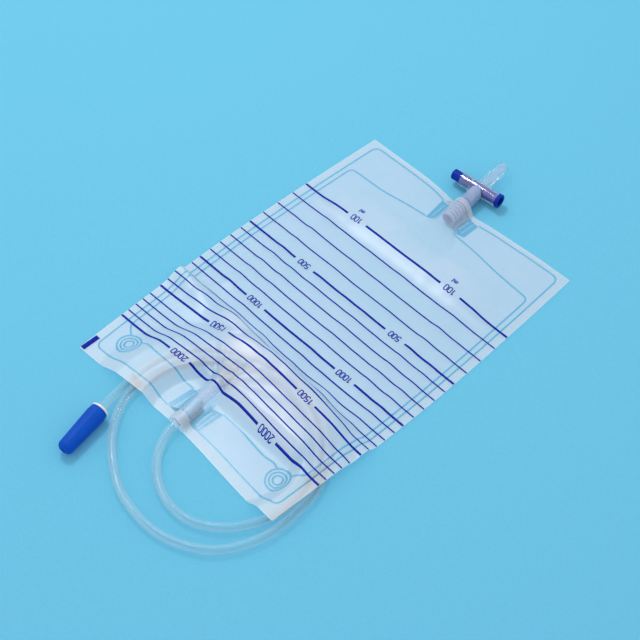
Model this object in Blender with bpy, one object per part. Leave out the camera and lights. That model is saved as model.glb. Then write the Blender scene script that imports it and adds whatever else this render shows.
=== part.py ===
"""Urine drainage bag, lying on a table with its tube coiled half under it.

Metres, +Z up. The bag's own frame has its origin on the table under the middle of the bag, +Y towards
the outlet tap. One empty shifts that frame so that the middle of bag and tap is the world's origin.
"""

import math

import bmesh
import bpy
from mathutils import Matrix, Vector

# Clearance left between pieces that touch, and the smaller one where the plunger runs in its bore
GAP = 0.0003
RUNNING_GAP = 0.00015

# Film bag: plan size, film, and the welds round it
BAG_LENGTH = 0.310
BAG_MID_WIDTH = 0.2200
BAG_END_WIDTH = 0.2096
SIDE_BOW_POWER = 1.6
FILM = 0.0002
SIDE_WELD = 0.012
END_WELD = 0.0375
OUTLET_EDGE_DIP = 0.005
OUTLET_EDGE_DIP_WIDTH = 0.026
INLET_EDGE_DIP = 0.0065
INLET_EDGE_DIP_WIDTH = 0.065

# Printed volume scale: the lines' places from 100 to 2000, as shares of the bag's length
LINE_SHARES = (
    0.2561, 0.2100, 0.1584, 0.1090, 0.0639, 0.0326, -0.0026, -0.0374, -0.0710, -0.1052,
    -0.1329, -0.1629, -0.1887, -0.2145, -0.2387, -0.2726, -0.2968, -0.3194, -0.3435, -0.3652,
)
LINE_Y = tuple(BAG_LENGTH * share for share in LINE_SHARES)
BOLD_LINES = (100, 500, 1000, 1500, 2000)
VOLUME_STEP = 100
THIN_LINE = 0.0010
BOLD_LINE = 0.0020
INK = 0.00012
INK_LIFT = 0.00065
NUMBER_X = 0.050
NUMBER_GAP = 0.020
BAR_LENGTH = 0.0150
BAR_WIDTH = 0.0042
BAR_MARGIN = 0.0014

# Drainage tube, and the two turns of it that lie under the bag
TUBE_DIAMETER = 0.0068
TUBE_RADIUS = TUBE_DIAMETER / 2
COIL_X = 0.027
COIL_INSET = 0.021
COIL_HALF_WIDTH = 0.0785
COIL_HALF_HEIGHT = 0.06785
COIL_FLAT_OUT = 0.0125
COIL_FLAT_IN = 0.0105
COIL_FALL_IN = 0.012
COIL_FALL_OUT = 0.014
COIL_FALL_SIDE = 0.022

# Folds that run from the coil to the bag's long edges: height, place and width
LEFT_FOLD = (0.0058, -0.051, 0.013)
RIGHT_FOLD = (0.0050, -0.072, 0.014)
FOLD_SLANT = 0.17
FOLD_REACH = 0.085

# How far the front film stands off the back film, and how soon it does so beyond the welds
MOUND_LOW = 0.0090
MOUND_MORE = 0.0032
MOUND_RISE_FROM = -0.055
MOUND_RISE_LENGTH = 0.075
MOUND_FALL = 0.026
NECK_DOME = 0.0052
NECK_DOME_Y = 0.084
NECK_DOME_LENGTH = 0.026
NECK_DOME_REACH = 0.105
NECK_DOME_FADE = 0.06
FREE_FROM_SIDE = 0.022
FREE_FROM_END = 0.020

# Film drawn over the two sleeves: how far it spans beside them, and how it widens and sinks inwards
TENT_POWER = 2.4
NECK_SPAN = 0.005
NECK_WIDENING = 0.6
NECK_FAN = 0.022
NECK_FAN_START = 0.002
INLET_SPAN = 0.0045
INLET_WIDENING = 0.3
INLET_FAN = 0.020

# Where the film is drawn in along the bag: most of the inlet end's share is taken up at the mound's
# steep side, and the rest from its other side to the edge
EDGE_BULGE_X = 0.040
EDGE_BULGE_WIDTH = 0.028
EDGE_BULGE_SHARE = 0.32
INLET_DIP_X = -0.005
MOUND_PULL_SHARE = 0.85
MOUND_PULL_FROM = -0.048
MOUND_PULL_LENGTH = 0.020
EDGE_PULL_FROM = -0.105

# Grid that both films share: column places beside each sleeve as shares of the spanned width, and
# further out as shares of the rest; where along the bag the columns gather; rows in from each end
CLOSE_COLUMNS = (0.0, 0.2273, 0.4364, 0.6364, 0.8182, 1.0)
NECK_COLUMNS = (0.0853, 0.2239, 0.4371, 0.7143)
INLET_LEFT_COLUMNS = (0.1225, 0.2848, 0.4471, 0.7508)
INLET_RIGHT_COLUMNS = (0.1539, 0.4052, 0.6565, 0.9079)
NECK_GATHER_FROM = 0.055
NECK_GATHER_LENGTH = 0.065
INLET_GATHER_FROM = -0.078
INLET_GATHER_LENGTH = 0.034
WELD_ROWS = (0.0, 0.007, 0.013, 0.019, 0.024, 0.028, 0.033, END_WELD)
NECK_ROWS = (0.044, 0.051, 0.059, 0.067, 0.083)
ROW_SPACING = 0.003
FLAT_ANGLE = math.radians(0.05)

# Outlet sleeve: flexible, ribbed where the films are welded round it
SLEEVE_WALL = 0.0014
SLEEVE_LENGTH = 0.0411
SLEEVE_RIBS = 7
SLEEVE_RIB_PITCH = 0.0032
SLEEVE_GROOVE = 0.0007
SLEEVE_LIP = 0.0008
NECK_YAW = math.radians(4.8)
NECK_RISE = math.radians(2.0)
TAP_BEYOND_EDGE = 0.0154
TAP_X = -0.0028

# Tap body: cross barrel, spigot inside the sleeve, and nozzle
BARREL_RADIUS = 0.0057
BARREL_LENGTH = 0.0352
BARREL_RIM = 0.0002
BARREL_RIM_WIDTH = 0.0012
BARREL_WALL = 0.00115
BORE_RADIUS = BARREL_RADIUS - BARREL_WALL
SPIGOT_RADIUS = 0.0043
SPIGOT_LENGTH = 0.028
SPIGOT_LEAD = 0.002
SLEEVE_RADIUS = SPIGOT_RADIUS + GAP + SLEEVE_WALL
FLOW_RADIUS = 0.0026
NOZZLE_LENGTH = 0.0330
NOZZLE_RADIUS = 0.0043
NOZZLE_TIP_RADIUS = 0.0049
NOZZLE_TIP_LENGTH = 0.0085
NOZZLE_FIN = 0.00035
NOZZLE_FINS = 6
CUTTER_EXTRA = 1.2
SEAM_TURN = math.radians(6.0)

# Tap plunger: knob at the left, two heads with a waist between them, ring at the right
PLUNGER_RADIUS = BORE_RADIUS - RUNNING_GAP
KNOB_REACH = 0.0085
WAIST_RADIUS = 0.0020
WAIST_FROM = -0.0112
WAIST_LENGTH = 0.0042
RING_RADIUS = 0.0058
RING_THICKNESS = 0.0026
BLIND_RADIUS = 0.0037
BLIND_DEPTH = 0.012
PLUNGER_EDGE = 0.0004

# Inlet sleeve in the other end weld, and the flutter valve on its inner end
INLET_X = -0.0011
INLET_INSET = 0.0085
INLET_YAW = math.radians(7.2)
INLET_LENGTH = 0.044
INLET_WALL = 0.0011
INLET_RADIUS = TUBE_RADIUS + GAP + INLET_WALL
INLET_LIP = 0.0006
VALVE_LENGTH = 0.018
VALVE_ROOM = 0.0005
VALVE_HALF_WIDTH = 0.0080
VALVE_HALF_THICKNESS = 0.0009
VALVE_WALL = 0.0006

# Connector at the tube's far end, and the cap pushed over it
CAP_LENGTH = 0.0392
CAP_RADIUS = 0.0072
CAP_END_RADIUS = 0.0060
CAP_MOUTH_RADIUS = 0.0067
CAP_WALL = 0.0011
CAP_SHOULDER = 0.004
CAP_END_WALL = 0.0024
CAP_ROUNDING = 0.003
CAP_DIMPLE = 0.0018
CAP_DIMPLE_DEPTH = 0.0007
CONNECTOR_X = -0.0458
CONNECTOR_OUT = 0.0274
CONNECTOR_YAW = math.radians(12.4)
FLANGE_THICKNESS = 0.0016
FLANGE_RADIUS = 0.0070
SOCKET_DEPTH = 0.010
FLANGE_EDGE = 0.0004
SOCKET_WALL = 0.0012
TAPER_STEPS = 3
TAPER_GAIN = 0.0010
TAPER_BARB = 0.0003
TAPER_TIP_RADIUS = 0.0030
TAPER_WALL = 0.0009
CONNECTOR_LENGTH = 0.031

SEGMENTS = 32
SMALL_SEGMENTS = 24

# Points that the tube passes through, from inside the inlet sleeve to inside the connector. Y is
# measured from the middle of the bag's inlet edge
TUBE_ROUTE = (
    (-0.0039, 0.0310), (-0.0011, 0.0090), (-0.0003, -0.0010), (0.0040, -0.0119),
    (0.0135, -0.0245), (0.0418, -0.0390), (0.0583, -0.0393), (0.0849, -0.0241),
    (0.0931, -0.0128), (0.0993, 0.0000), (0.1020, 0.0210), (0.0950, 0.0481),
    (0.0752, 0.0702), (0.0464, 0.0830), (0.0140, 0.0842), (-0.0160, 0.0736),
    (-0.0380, 0.0531), (-0.0477, 0.0266), (-0.0462, 0.0043), (-0.0429, -0.0080),
    (-0.0344, -0.0225), (-0.0050, -0.0478), (0.0134, -0.0567), (0.0307, -0.0603),
    (0.0527, -0.0604), (0.0735, -0.0540), (0.0913, -0.0421), (0.1092, -0.0055),
    (0.1101, 0.0126), (0.1046, 0.0450), (0.0850, 0.0716), (0.0550, 0.0882),
    (0.0199, 0.0922), (-0.0140, 0.0829), (-0.0402, 0.0620), (-0.0540, 0.0340),
    (-0.0532, 0.0056), (-0.0505, -0.0110), (-0.0465, -0.0240), (-0.0440, -0.0355),
)
TUBE_POINTS = 78
CURVE_STEPS = 12
SLEEVE_RAISE = (1.0, 1.0, 0.75, 0.25)
CONNECTOR_RAISE = (0.35, 0.95, 1.0)

COLORS = {
    "film": (0.62, 0.80, 0.88, 1.0),
    "ink": (0.0, 0.016, 0.36, 1.0),
    "clear_pvc": (0.72, 0.83, 0.90, 1.0),
    "clear_plastic": (0.80, 0.86, 0.92, 1.0),
    "blue_plastic": (0.0, 0.045, 0.52, 1.0),
    "cap_plastic": (0.0, 0.08, 0.60, 1.0),
    "white_plastic": (0.90, 0.90, 0.89, 1.0),
}


def smooth(t):
    """0 below 0, 1 above 1, and an even slope between."""
    t = min(max(t, 0.0), 1.0)
    return t * t * (3.0 - 2.0 * t)


def highest(*heights, power=5.0):
    """The largest of several heights, with the creases between them rounded."""
    return sum(max(h, 0.0) ** power for h in heights) ** (1.0 / power)


def half_width(y):
    along = min(abs(y) / (BAG_LENGTH / 2), 1.0)
    return (BAG_END_WIDTH + (BAG_MID_WIDTH - BAG_END_WIDTH) * (1.0 - along ** SIDE_BOW_POWER)) / 2


def bell(distance, width):
    return math.exp(-((distance / width) ** 2))


def inlet_edge_y():
    return -BAG_LENGTH / 2


def coil_y():
    return inlet_edge_y() + COIL_INSET


def coil_distance(x, y):
    """Distance outwards from the middle line between the two hidden turns of tube."""
    dx, dy = x - COIL_X, y - coil_y()
    share = math.hypot(dx / COIL_HALF_WIDTH, dy / COIL_HALF_HEIGHT)
    reach = math.hypot(dx, dy)
    if share < 0.1:
        return -COIL_HALF_HEIGHT
    return reach * (1.0 - 1.0 / share)


def fold(x, y, shape, side):
    """A fold's height: it fades out from one long edge towards the coil."""
    height, place, width = shape
    inwards = BAG_MID_WIDTH / 2 - side * x
    middle = place - FOLD_SLANT * inwards * (side < 0)
    return height * bell(y - middle, width) * smooth(1.0 - inwards / FOLD_REACH)


def back_height(x, y):
    """Height of the back film's underside: over the tube, and flat on the table elsewhere."""
    out = coil_distance(x, y)
    rise = TUBE_DIAMETER + 2 * GAP
    across = abs(x - COIL_X) / max(math.hypot(x - COIL_X, y - coil_y()), GAP)
    fall = COIL_FALL_OUT + (COIL_FALL_SIDE - COIL_FALL_OUT) * across ** 2
    if out > 0:
        coil = rise * (1.0 - smooth((out - COIL_FLAT_OUT) / fall))
    else:
        coil = rise * (1.0 - smooth((-out - COIL_FLAT_IN) / COIL_FALL_IN))
    return highest(coil, fold(x, y, LEFT_FOLD, -1), fold(x, y, RIGHT_FOLD, 1))


def neck_place():
    """The centre of the tap's barrel."""
    slope = math.sin(NECK_RISE) * SLEEVE_LENGTH
    lowest = FILM + GAP + SLEEVE_RADIUS
    return Vector((TAP_X, BAG_LENGTH / 2 + TAP_BEYOND_EDGE, lowest + slope))


def neck_frame():
    """Local X along the barrel, Y along the neck towards the nozzle, Z up."""
    aim = Matrix.Rotation(NECK_YAW, 4, "Z") @ Matrix.Rotation(NECK_RISE, 4, "X")
    return Matrix.Translation(neck_place()) @ aim


def inlet_place():
    return Vector((INLET_X, inlet_edge_y() + INLET_INSET, FILM + GAP + INLET_RADIUS))


def inlet_frame():
    """Local Y along the sleeve into the bag, from its outer mouth."""
    return Matrix.Translation(inlet_place()) @ Matrix.Rotation(INLET_YAW, 4, "Z")


def tent(offset, half, height):
    """Height of film drawn over a round sleeve, at this distance from the sleeve's axis."""
    share = abs(offset) / half
    return height * (1.0 - share ** TENT_POWER) if share < 1.0 else 0.0


def neck_tent(x, y):
    """Film over the outlet sleeve, fanning out and sinking beyond the sleeve's inner end."""
    place = neck_frame().inverted() @ Vector((x, y, neck_place().z))
    beyond = max(-place.y - SLEEVE_LENGTH - NECK_FAN_START, 0.0)
    top = neck_place().z + SLEEVE_RADIUS + GAP + place.y * math.sin(NECK_RISE)
    height = (top + GAP) * math.exp(-beyond / NECK_FAN)
    return tent(place.x, SLEEVE_RADIUS + NECK_SPAN + NECK_WIDENING * beyond, height)


def inlet_tent(x, y):
    """Film over the inlet sleeve, as far as the mound over the coil."""
    place = inlet_frame().inverted() @ Vector((x, y, 0.0))
    beyond = max(place.y - INLET_LENGTH, 0.0)
    height = (2 * INLET_RADIUS + 4 * GAP) * math.exp(-beyond / INLET_FAN)
    return tent(place.x, INLET_RADIUS + INLET_SPAN + INLET_WIDENING * beyond, height)


def front_height(x, y):
    """Height of the front film's upper side."""
    base = back_height(x, y) + 2 * FILM + GAP
    inside = half_width(y) - SIDE_WELD - abs(x)
    inside_end = BAG_LENGTH / 2 - END_WELD - abs(y)
    free = smooth(inside / FREE_FROM_SIDE) * smooth(inside_end / FREE_FROM_END)
    mound_top = MOUND_LOW + MOUND_MORE * smooth((x - MOUND_RISE_FROM) / MOUND_RISE_LENGTH)
    mound = mound_top * (1.0 - smooth((coil_distance(x, y) - COIL_FLAT_OUT / 2) / MOUND_FALL))
    dome = NECK_DOME * bell(y - NECK_DOME_Y, NECK_DOME_LENGTH)
    dome *= smooth((NECK_DOME_REACH - abs(x)) / NECK_DOME_FADE)
    loose = highest(mound - base, dome, 0.0) * free
    return base + highest(loose, neck_tent(x, y) - base, inlet_tent(x, y) - base)


def drawn_in(x, y):
    """How far the film is drawn in along the bag: by the neck at one end, by the mound at the other."""
    if y > 0:
        end = smooth((y - (BAG_LENGTH / 2 - END_WELD)) / END_WELD)
        side = EDGE_BULGE_SHARE * bell(x - EDGE_BULGE_X, EDGE_BULGE_WIDTH)
        return -end * OUTLET_EDGE_DIP * (bell(x, OUTLET_EDGE_DIP_WIDTH) + side)
    pull = MOUND_PULL_SHARE * smooth((MOUND_PULL_FROM - y) / MOUND_PULL_LENGTH)
    pull += (1.0 - MOUND_PULL_SHARE) * smooth((EDGE_PULL_FROM - y) / (BAG_LENGTH / 2 + EDGE_PULL_FROM))
    return pull * INLET_EDGE_DIP * bell(x - INLET_DIP_X, INLET_EDGE_DIP_WIDTH)


def columns_at(y):
    """X of each grid column: even in the middle, and drawn together at the sleeves at both ends."""
    edge = half_width(y)
    if y > 0:
        drawn = smooth((y - NECK_GATHER_FROM) / NECK_GATHER_LENGTH)
        axis = neck_place().x + (neck_place().y - y) * math.tan(NECK_YAW)
        wide = {-1: NECK_COLUMNS, 1: NECK_COLUMNS}
        span = SLEEVE_RADIUS + NECK_SPAN
    else:
        drawn = smooth((INLET_GATHER_FROM - y) / INLET_GATHER_LENGTH)
        axis = inlet_place().x - (y - inlet_place().y) * math.tan(INLET_YAW)
        wide = {-1: INLET_LEFT_COLUMNS, 1: INLET_RIGHT_COLUMNS}
        span = INLET_RADIUS + INLET_SPAN
    close = [c * span for c in CLOSE_COLUMNS]
    rest = BAG_END_WIDTH / 2 - span
    gathered = {side: close + [span + c * rest for c in wide[side]] for side in (-1, 1)}
    count = len(gathered[1])
    result = []
    for i in range(-count, count + 1):
        side = 1 if i >= 0 else -1
        even = edge * i / count
        near = even if abs(i) == count else axis + side * gathered[side][abs(i)]
        result.append(even + (near - even) * drawn)
    return result


def row_places():
    """Y of the grid's rows: every printed line has one, and the ends have more."""
    end = BAG_LENGTH / 2
    extra = [end - inset for inset in WELD_ROWS + NECK_ROWS] + [inset - end for inset in WELD_ROWS]
    rows = list(LINE_Y)
    for y in extra:
        if all(abs(y - other) > ROW_SPACING for other in rows):
            rows.append(y)
    return sorted(rows)


ROWS = row_places()


def film_grid(height):
    """Grid of points for one film: a list of rows, each a list of points, at this height."""
    grid = []
    for y in ROWS:
        places = [(x, y + drawn_in(x, y)) for x in columns_at(y)]
        grid.append([Vector((x, drawn, height(x, drawn))) for x, drawn in places])
    return grid


def material(name, roughness=0.3, transmission=0.0):
    found = bpy.data.materials.get(name)
    if found:
        return found
    made = bpy.data.materials.new(name)
    made.use_nodes = True
    shader = made.node_tree.nodes["Principled BSDF"]
    shader.inputs["Base Color"].default_value = COLORS[name]
    shader.inputs["Roughness"].default_value = roughness
    shader.inputs["Metallic"].default_value = 0.0
    shader.inputs["Transmission Weight"].default_value = transmission
    return made


def add_object(name, bm, surface, parent, matrix=None, smooth_angle=35.0):
    """Makes the object from a bmesh, closes its normals, and places it under its parent."""
    bmesh.ops.recalc_face_normals(bm, faces=bm.faces)
    mesh = bpy.data.meshes.new(name)
    bm.to_mesh(mesh)
    bm.free()
    mesh.shade_smooth()
    mesh.set_sharp_from_angle(angle=math.radians(smooth_angle))
    if surface:
        mesh.materials.append(surface)
    obj = bpy.data.objects.new(name, mesh)
    bpy.context.scene.collection.objects.link(obj)
    obj.parent = parent
    if matrix is not None:
        obj.matrix_local = matrix
    return obj


def add_helper(name, bm, parent, matrix=None):
    """A shape that only joins or cuts another one."""
    obj = add_object(name, bm, None, parent, matrix)
    obj.hide_render = True
    obj.display_type = "WIRE"
    return obj


def add_boolean(obj, other, operation):
    modifier = obj.modifiers.new(other.name, "BOOLEAN")
    modifier.operation = operation
    modifier.solver = "EXACT"
    modifier.object = other


def turned(profile, axis="Y", segments=SEGMENTS, fin=0.0, fins=0, fin_span=(0.0, 0.0)):
    """A solid turned from (radius, place along the axis) points; radius 0 closes it on the axis."""
    bm = bmesh.new()
    rings = []
    for radius, along in profile:
        if radius == 0.0:
            rings.append([bm.verts.new((0.0, along, 0.0))])
            continue
        ring = []
        finned = fins and fin_span[0] <= along <= fin_span[1]
        for k in range(segments):
            angle = math.tau * k / segments
            ridge = fin if finned and k % (segments // fins) == 0 else 0.0
            reach = radius + ridge
            ring.append(bm.verts.new((reach * math.sin(angle), along, reach * math.cos(angle))))
        rings.append(ring)
    closed = profile[0][0] != 0.0
    pairs = list(zip(rings, rings[1:] + rings[:1])) if closed else list(zip(rings, rings[1:]))
    for first, second in pairs:
        for k in range(segments):
            n = (k + 1) % segments
            corners = [first[k % len(first)], first[n % len(first)]]
            corners += [second[n % len(second)], second[k % len(second)]]
            unique = list(dict.fromkeys(corners))
            if len(unique) > 2:
                bm.faces.new(unique)
    if axis == "X":
        bmesh.ops.rotate(bm, verts=bm.verts, matrix=Matrix.Rotation(-math.pi / 2, 3, "Z"))
    return bm


def sheet_mesh(grid, thickness):
    """A closed sheet below a grid of points, each cell cut along the same diagonal on both sides."""
    bm = bmesh.new()
    down = Vector((0.0, 0.0, thickness))
    top = [[bm.verts.new(p) for p in row] for row in grid]
    low = [[bm.verts.new(p - down) for p in row] for row in grid]
    for r in range(len(grid) - 1):
        for c in range(len(grid[0]) - 1):
            for side in (top, low):
                a, b = side[r][c], side[r][c + 1]
                d, e = side[r + 1][c + 1], side[r + 1][c]
                cuts = ((a, b, d), (a, d, e)) if (r + c) % 2 else ((a, b, e), (b, d, e))
                for cut in cuts:
                    bm.faces.new(cut)
    rim = [(0, c) for c in range(len(grid[0]))]
    rim += [(r, len(grid[0]) - 1) for r in range(1, len(grid))]
    rim += [(len(grid) - 1, c) for c in range(len(grid[0]) - 2, -1, -1)]
    rim += [(r, 0) for r in range(len(grid) - 2, 0, -1)]
    for (r, c), (s, d) in zip(rim, rim[1:] + rim[:1]):
        bm.faces.new((top[r][c], top[s][d], low[s][d], low[r][c]))
    return bm


def merge_flat(bm):
    """Joins faces that lie in one plane, so that flat film takes few triangles."""
    bmesh.ops.recalc_face_normals(bm, faces=bm.faces)
    bmesh.ops.dissolve_limit(
        bm, angle_limit=FLAT_ANGLE, verts=bm.verts, edges=bm.edges, use_dissolve_boundaries=False
    )
    bmesh.ops.triangulate(bm, faces=bm.faces)
    return bm


def add_films(parent):
    surface = material("film", 0.25, 0.3)
    front = film_grid(front_height)
    back = film_grid(lambda x, y: back_height(x, y) + FILM)
    add_object("front_film", merge_flat(sheet_mesh(front, FILM)), surface, parent)
    add_object("back_film", merge_flat(sheet_mesh(back, FILM)), surface, parent)
    return front


def point_on_row(row, x):
    """The row's point at this x, on the straight line between its columns."""
    for first, second in zip(row, row[1:]):
        if first.x <= x <= second.x:
            return first.lerp(second, (x - first.x) / (second.x - first.x))
    return row[0] if x < row[0].x else row[-1]


def beside(grid, r, x, offset):
    """The film's point at this x on row r, moved by offset across the line along the film."""
    here = point_on_row(grid[r], x)
    other = point_on_row(grid[r + (1 if offset > 0 else -1)], x)
    return here.lerp(other, abs(offset) / abs(other.y - here.y))


def straightened(stations, tolerance=0.00004):
    """Leaves out the stations that lie on a straight line between their neighbours."""
    if len(stations) < 3:
        return stations
    first, last = stations[0], stations[-1]
    worst, place = 0.0, 0
    for k in range(1, len(stations) - 1):
        share = (stations[k][0].x - first[0].x) / (last[0].x - first[0].x)
        off = max((stations[k][e] - first[e].lerp(last[e], share)).length for e in (0, 1))
        if off > worst:
            worst, place = off, k
    if worst < tolerance:
        return [first, last]
    before = straightened(stations[: place + 1], tolerance)
    return before[:-1] + straightened(stations[place:], tolerance)


def add_ink_strip(name, grid, r, x_from, x_to, width, parent):
    """One printed stroke: a thin strip that follows the front film along a row of its grid."""
    inner = [p.x for p in grid[r] if x_from + GAP < p.x < x_to - GAP]
    lift = Vector((0.0, 0.0, INK_LIFT + INK))
    stations = []
    for x in [x_from] + inner + [x_to]:
        stations.append([beside(grid, r, x, side * width / 2) + lift for side in (-1, 1)])
    stations = straightened(stations)
    rows = [[s[0] for s in stations], [s[1] for s in stations]]
    add_object(name, sheet_mesh(rows, INK), material("ink", 0.35), parent)


def add_scale(grid, parent):
    """The scale's lines: thin ones unbroken, bold ones with two places left open for numbers."""
    for k, y in enumerate(LINE_Y):
        volume = VOLUME_STEP * (k + 1)
        r = ROWS.index(y)
        reach = half_width(y) - GAP
        if volume not in BOLD_LINES:
            add_ink_strip(f"scale_line_{volume}", grid, r, -reach, reach, THIN_LINE, parent)
            continue
        near, far = NUMBER_X - NUMBER_GAP / 2, NUMBER_X + NUMBER_GAP / 2
        spans = {"left": (-reach, -far), "middle": (-near, near), "right": (far, reach)}
        for side, (x_from, x_to) in spans.items():
            name = f"scale_line_{volume}_{side}"
            add_ink_strip(name, grid, r, x_from, x_to, BOLD_LINE, parent)


def add_register_bar(grid, parent):
    """Small printed bar in the left corner of the inlet end, just above the film rows under it."""
    y_low = -BAG_LENGTH / 2 + BAR_MARGIN
    x_low = -half_width(y_low) + BAR_MARGIN / 2
    x_high, y_high = x_low + BAR_WIDTH, y_low + BAR_LENGTH
    under = grid[: sum(y < y_high for y in ROWS) + 1]
    z = max(point_on_row(row, x).z for row in under for x in (x_low, x_high)) + INK_LIFT + INK
    rows = [[Vector((x, y, z)) for x in (x_low, x_high)] for y in (y_low, y_high)]
    add_object("register_bar", sheet_mesh(rows, INK), material("ink", 0.35), parent)


def add_outlet_sleeve(tap):
    """Flexible sleeve: ribs where it is welded in, and an end that saddles the barrel."""
    inner = SPIGOT_RADIUS + GAP
    end = -SLEEVE_LENGTH
    profile = [(inner, 0.0), (inner, end), (SLEEVE_RADIUS - SLEEVE_GROOVE, end)]
    along = end + SLEEVE_LIP
    for _ in range(SLEEVE_RIBS):
        profile.append((SLEEVE_RADIUS, along))
        profile.append((SLEEVE_RADIUS, along + SLEEVE_RIB_PITCH * 0.5))
        profile.append((SLEEVE_RADIUS - SLEEVE_GROOVE, along + SLEEVE_RIB_PITCH * 0.75))
        along += SLEEVE_RIB_PITCH
    profile += [(SLEEVE_RADIUS, along), (SLEEVE_RADIUS, 0.0)]
    sleeve = add_object("outlet_sleeve", turned(profile), material("clear_pvc", 0.2, 0.6), tap)
    reach = SLEEVE_RADIUS * 2
    round_barrel = BARREL_RADIUS + BARREL_RIM + GAP
    cutter = [(0.0, -reach), (round_barrel, -reach), (round_barrel, reach), (0.0, reach)]
    add_boolean(sleeve, add_helper("sleeve_saddle_cutter", turned(cutter, "X"), tap), "DIFFERENCE")


def add_tap_body(tap):
    """Clear cross body: barrel, spigot and nozzle in one moulding, bored both ways."""
    half = BARREL_LENGTH / 2
    rim = BARREL_RIM_WIDTH
    barrel_profile = [
        (0.0, -half), (BARREL_RADIUS - BARREL_RIM, -half), (BARREL_RADIUS, -half + BARREL_RIM),
        (BARREL_RADIUS, half - rim), (BARREL_RADIUS + BARREL_RIM, half - rim),
        (BARREL_RADIUS + BARREL_RIM, half), (0.0, half),
    ]
    spigot_profile = [
        (0.0, -SPIGOT_LENGTH), (SPIGOT_RADIUS * 0.86, -SPIGOT_LENGTH),
        (SPIGOT_RADIUS, -SPIGOT_LENGTH + SPIGOT_LEAD), (SPIGOT_RADIUS, 0.0), (0.0, 0.0),
    ]
    tip_from = NOZZLE_LENGTH - NOZZLE_TIP_LENGTH
    tip = NOZZLE_TIP_RADIUS
    end = NOZZLE_LENGTH
    nozzle_profile = [
        (0.0, 0.0), (NOZZLE_RADIUS, 0.0), (NOZZLE_RADIUS, tip_from),
        (tip, tip_from + tip * 0.14), (tip, end - tip * 0.70), (tip * 0.92, end - tip * 0.38),
        (tip * 0.78, end - tip * 0.14), (tip * 0.66, end), (0.0, end),
    ]
    bore_end = half * CUTTER_EXTRA
    bore_profile = [(0.0, -bore_end), (BORE_RADIUS, -bore_end), (BORE_RADIUS, bore_end), (0.0, bore_end)]
    flow_from, flow_to = -SPIGOT_LENGTH * CUTTER_EXTRA, end * CUTTER_EXTRA
    flow_profile = [(0.0, flow_from), (FLOW_RADIUS, flow_from), (FLOW_RADIUS, flow_to), (0.0, flow_to)]
    body = add_object("tap_body", turned(barrel_profile, "X"), material("clear_plastic", 0.08, 0.8), tap)
    nozzle = turned(
        nozzle_profile, segments=SMALL_SEGMENTS, fin=NOZZLE_FIN, fins=NOZZLE_FINS, fin_span=(0.0, tip_from)
    )
    spigot = turned(spigot_profile, segments=SMALL_SEGMENTS)
    flow = turned(flow_profile, segments=16)
    add_boolean(body, add_helper("spigot_blank", spigot, tap), "UNION")
    add_boolean(body, add_helper("nozzle_blank", nozzle, tap), "UNION")
    add_boolean(body, add_helper("barrel_bore_cutter", turned(bore_profile, "X"), tap), "DIFFERENCE")
    off_seams = Matrix.Rotation(SEAM_TURN, 4, "Y")
    add_boolean(body, add_helper("flow_cutter", flow, tap, off_seams), "DIFFERENCE")


def add_plunger(tap):
    """Push-pull plunger: its waist opens the tap when the knob is pushed in."""
    half = BARREL_LENGTH / 2
    left = -half - KNOB_REACH
    ring_from = half + GAP
    right = ring_from + RING_THICKNESS
    waist_to = WAIST_FROM + WAIST_LENGTH
    edge = PLUNGER_EDGE
    profile = [
        (0.0, left), (PLUNGER_RADIUS - edge, left), (PLUNGER_RADIUS, left + edge),
        (PLUNGER_RADIUS, WAIST_FROM), (WAIST_RADIUS, WAIST_FROM), (WAIST_RADIUS, waist_to),
        (PLUNGER_RADIUS, waist_to), (PLUNGER_RADIUS, ring_from), (RING_RADIUS, ring_from),
        (RING_RADIUS, right - edge), (RING_RADIUS - edge, right), (BLIND_RADIUS + edge, right),
        (BLIND_RADIUS, right - edge), (BLIND_RADIUS, right - BLIND_DEPTH), (0.0, right - BLIND_DEPTH),
    ]
    add_object("tap_plunger", turned(profile, "X"), material("blue_plastic", 0.3), tap)


def add_inlet(parent):
    """Inlet sleeve in the end weld, with the non-return valve on its inner end."""
    inner = TUBE_RADIUS + GAP
    lip = INLET_LIP
    profile = [
        (inner, 0.0), (INLET_RADIUS - lip, 0.0), (INLET_RADIUS, lip),
        (INLET_RADIUS, INLET_LENGTH - lip), (INLET_RADIUS - lip, INLET_LENGTH), (inner, INLET_LENGTH),
    ]
    sleeve = turned(profile, segments=SMALL_SEGMENTS)
    add_object("inlet_sleeve", sleeve, material("clear_pvc", 0.2, 0.6), parent, inlet_frame())
    valve_frame = inlet_frame() @ Matrix.Translation((0.0, INLET_LENGTH + GAP, 0.0))
    surface = material("clear_pvc", 0.2, 0.6)
    add_object("non_return_valve", flutter_valve(valve_frame), surface, parent, valve_frame)


def valve_lift(frame, along, across, up):
    """How far the back film under this place on the valve lifts it."""
    middle = frame @ Vector((0.0, along, 0.0))
    highest_film = back_height(middle.x, middle.y) + up
    for side in (-across, across):
        edge = frame @ Vector((side, along, 0.0))
        highest_film = max(highest_film, back_height(edge.x, edge.y))
    return max(highest_film + FILM + VALVE_ROOM - middle.z, 0.0)


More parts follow.
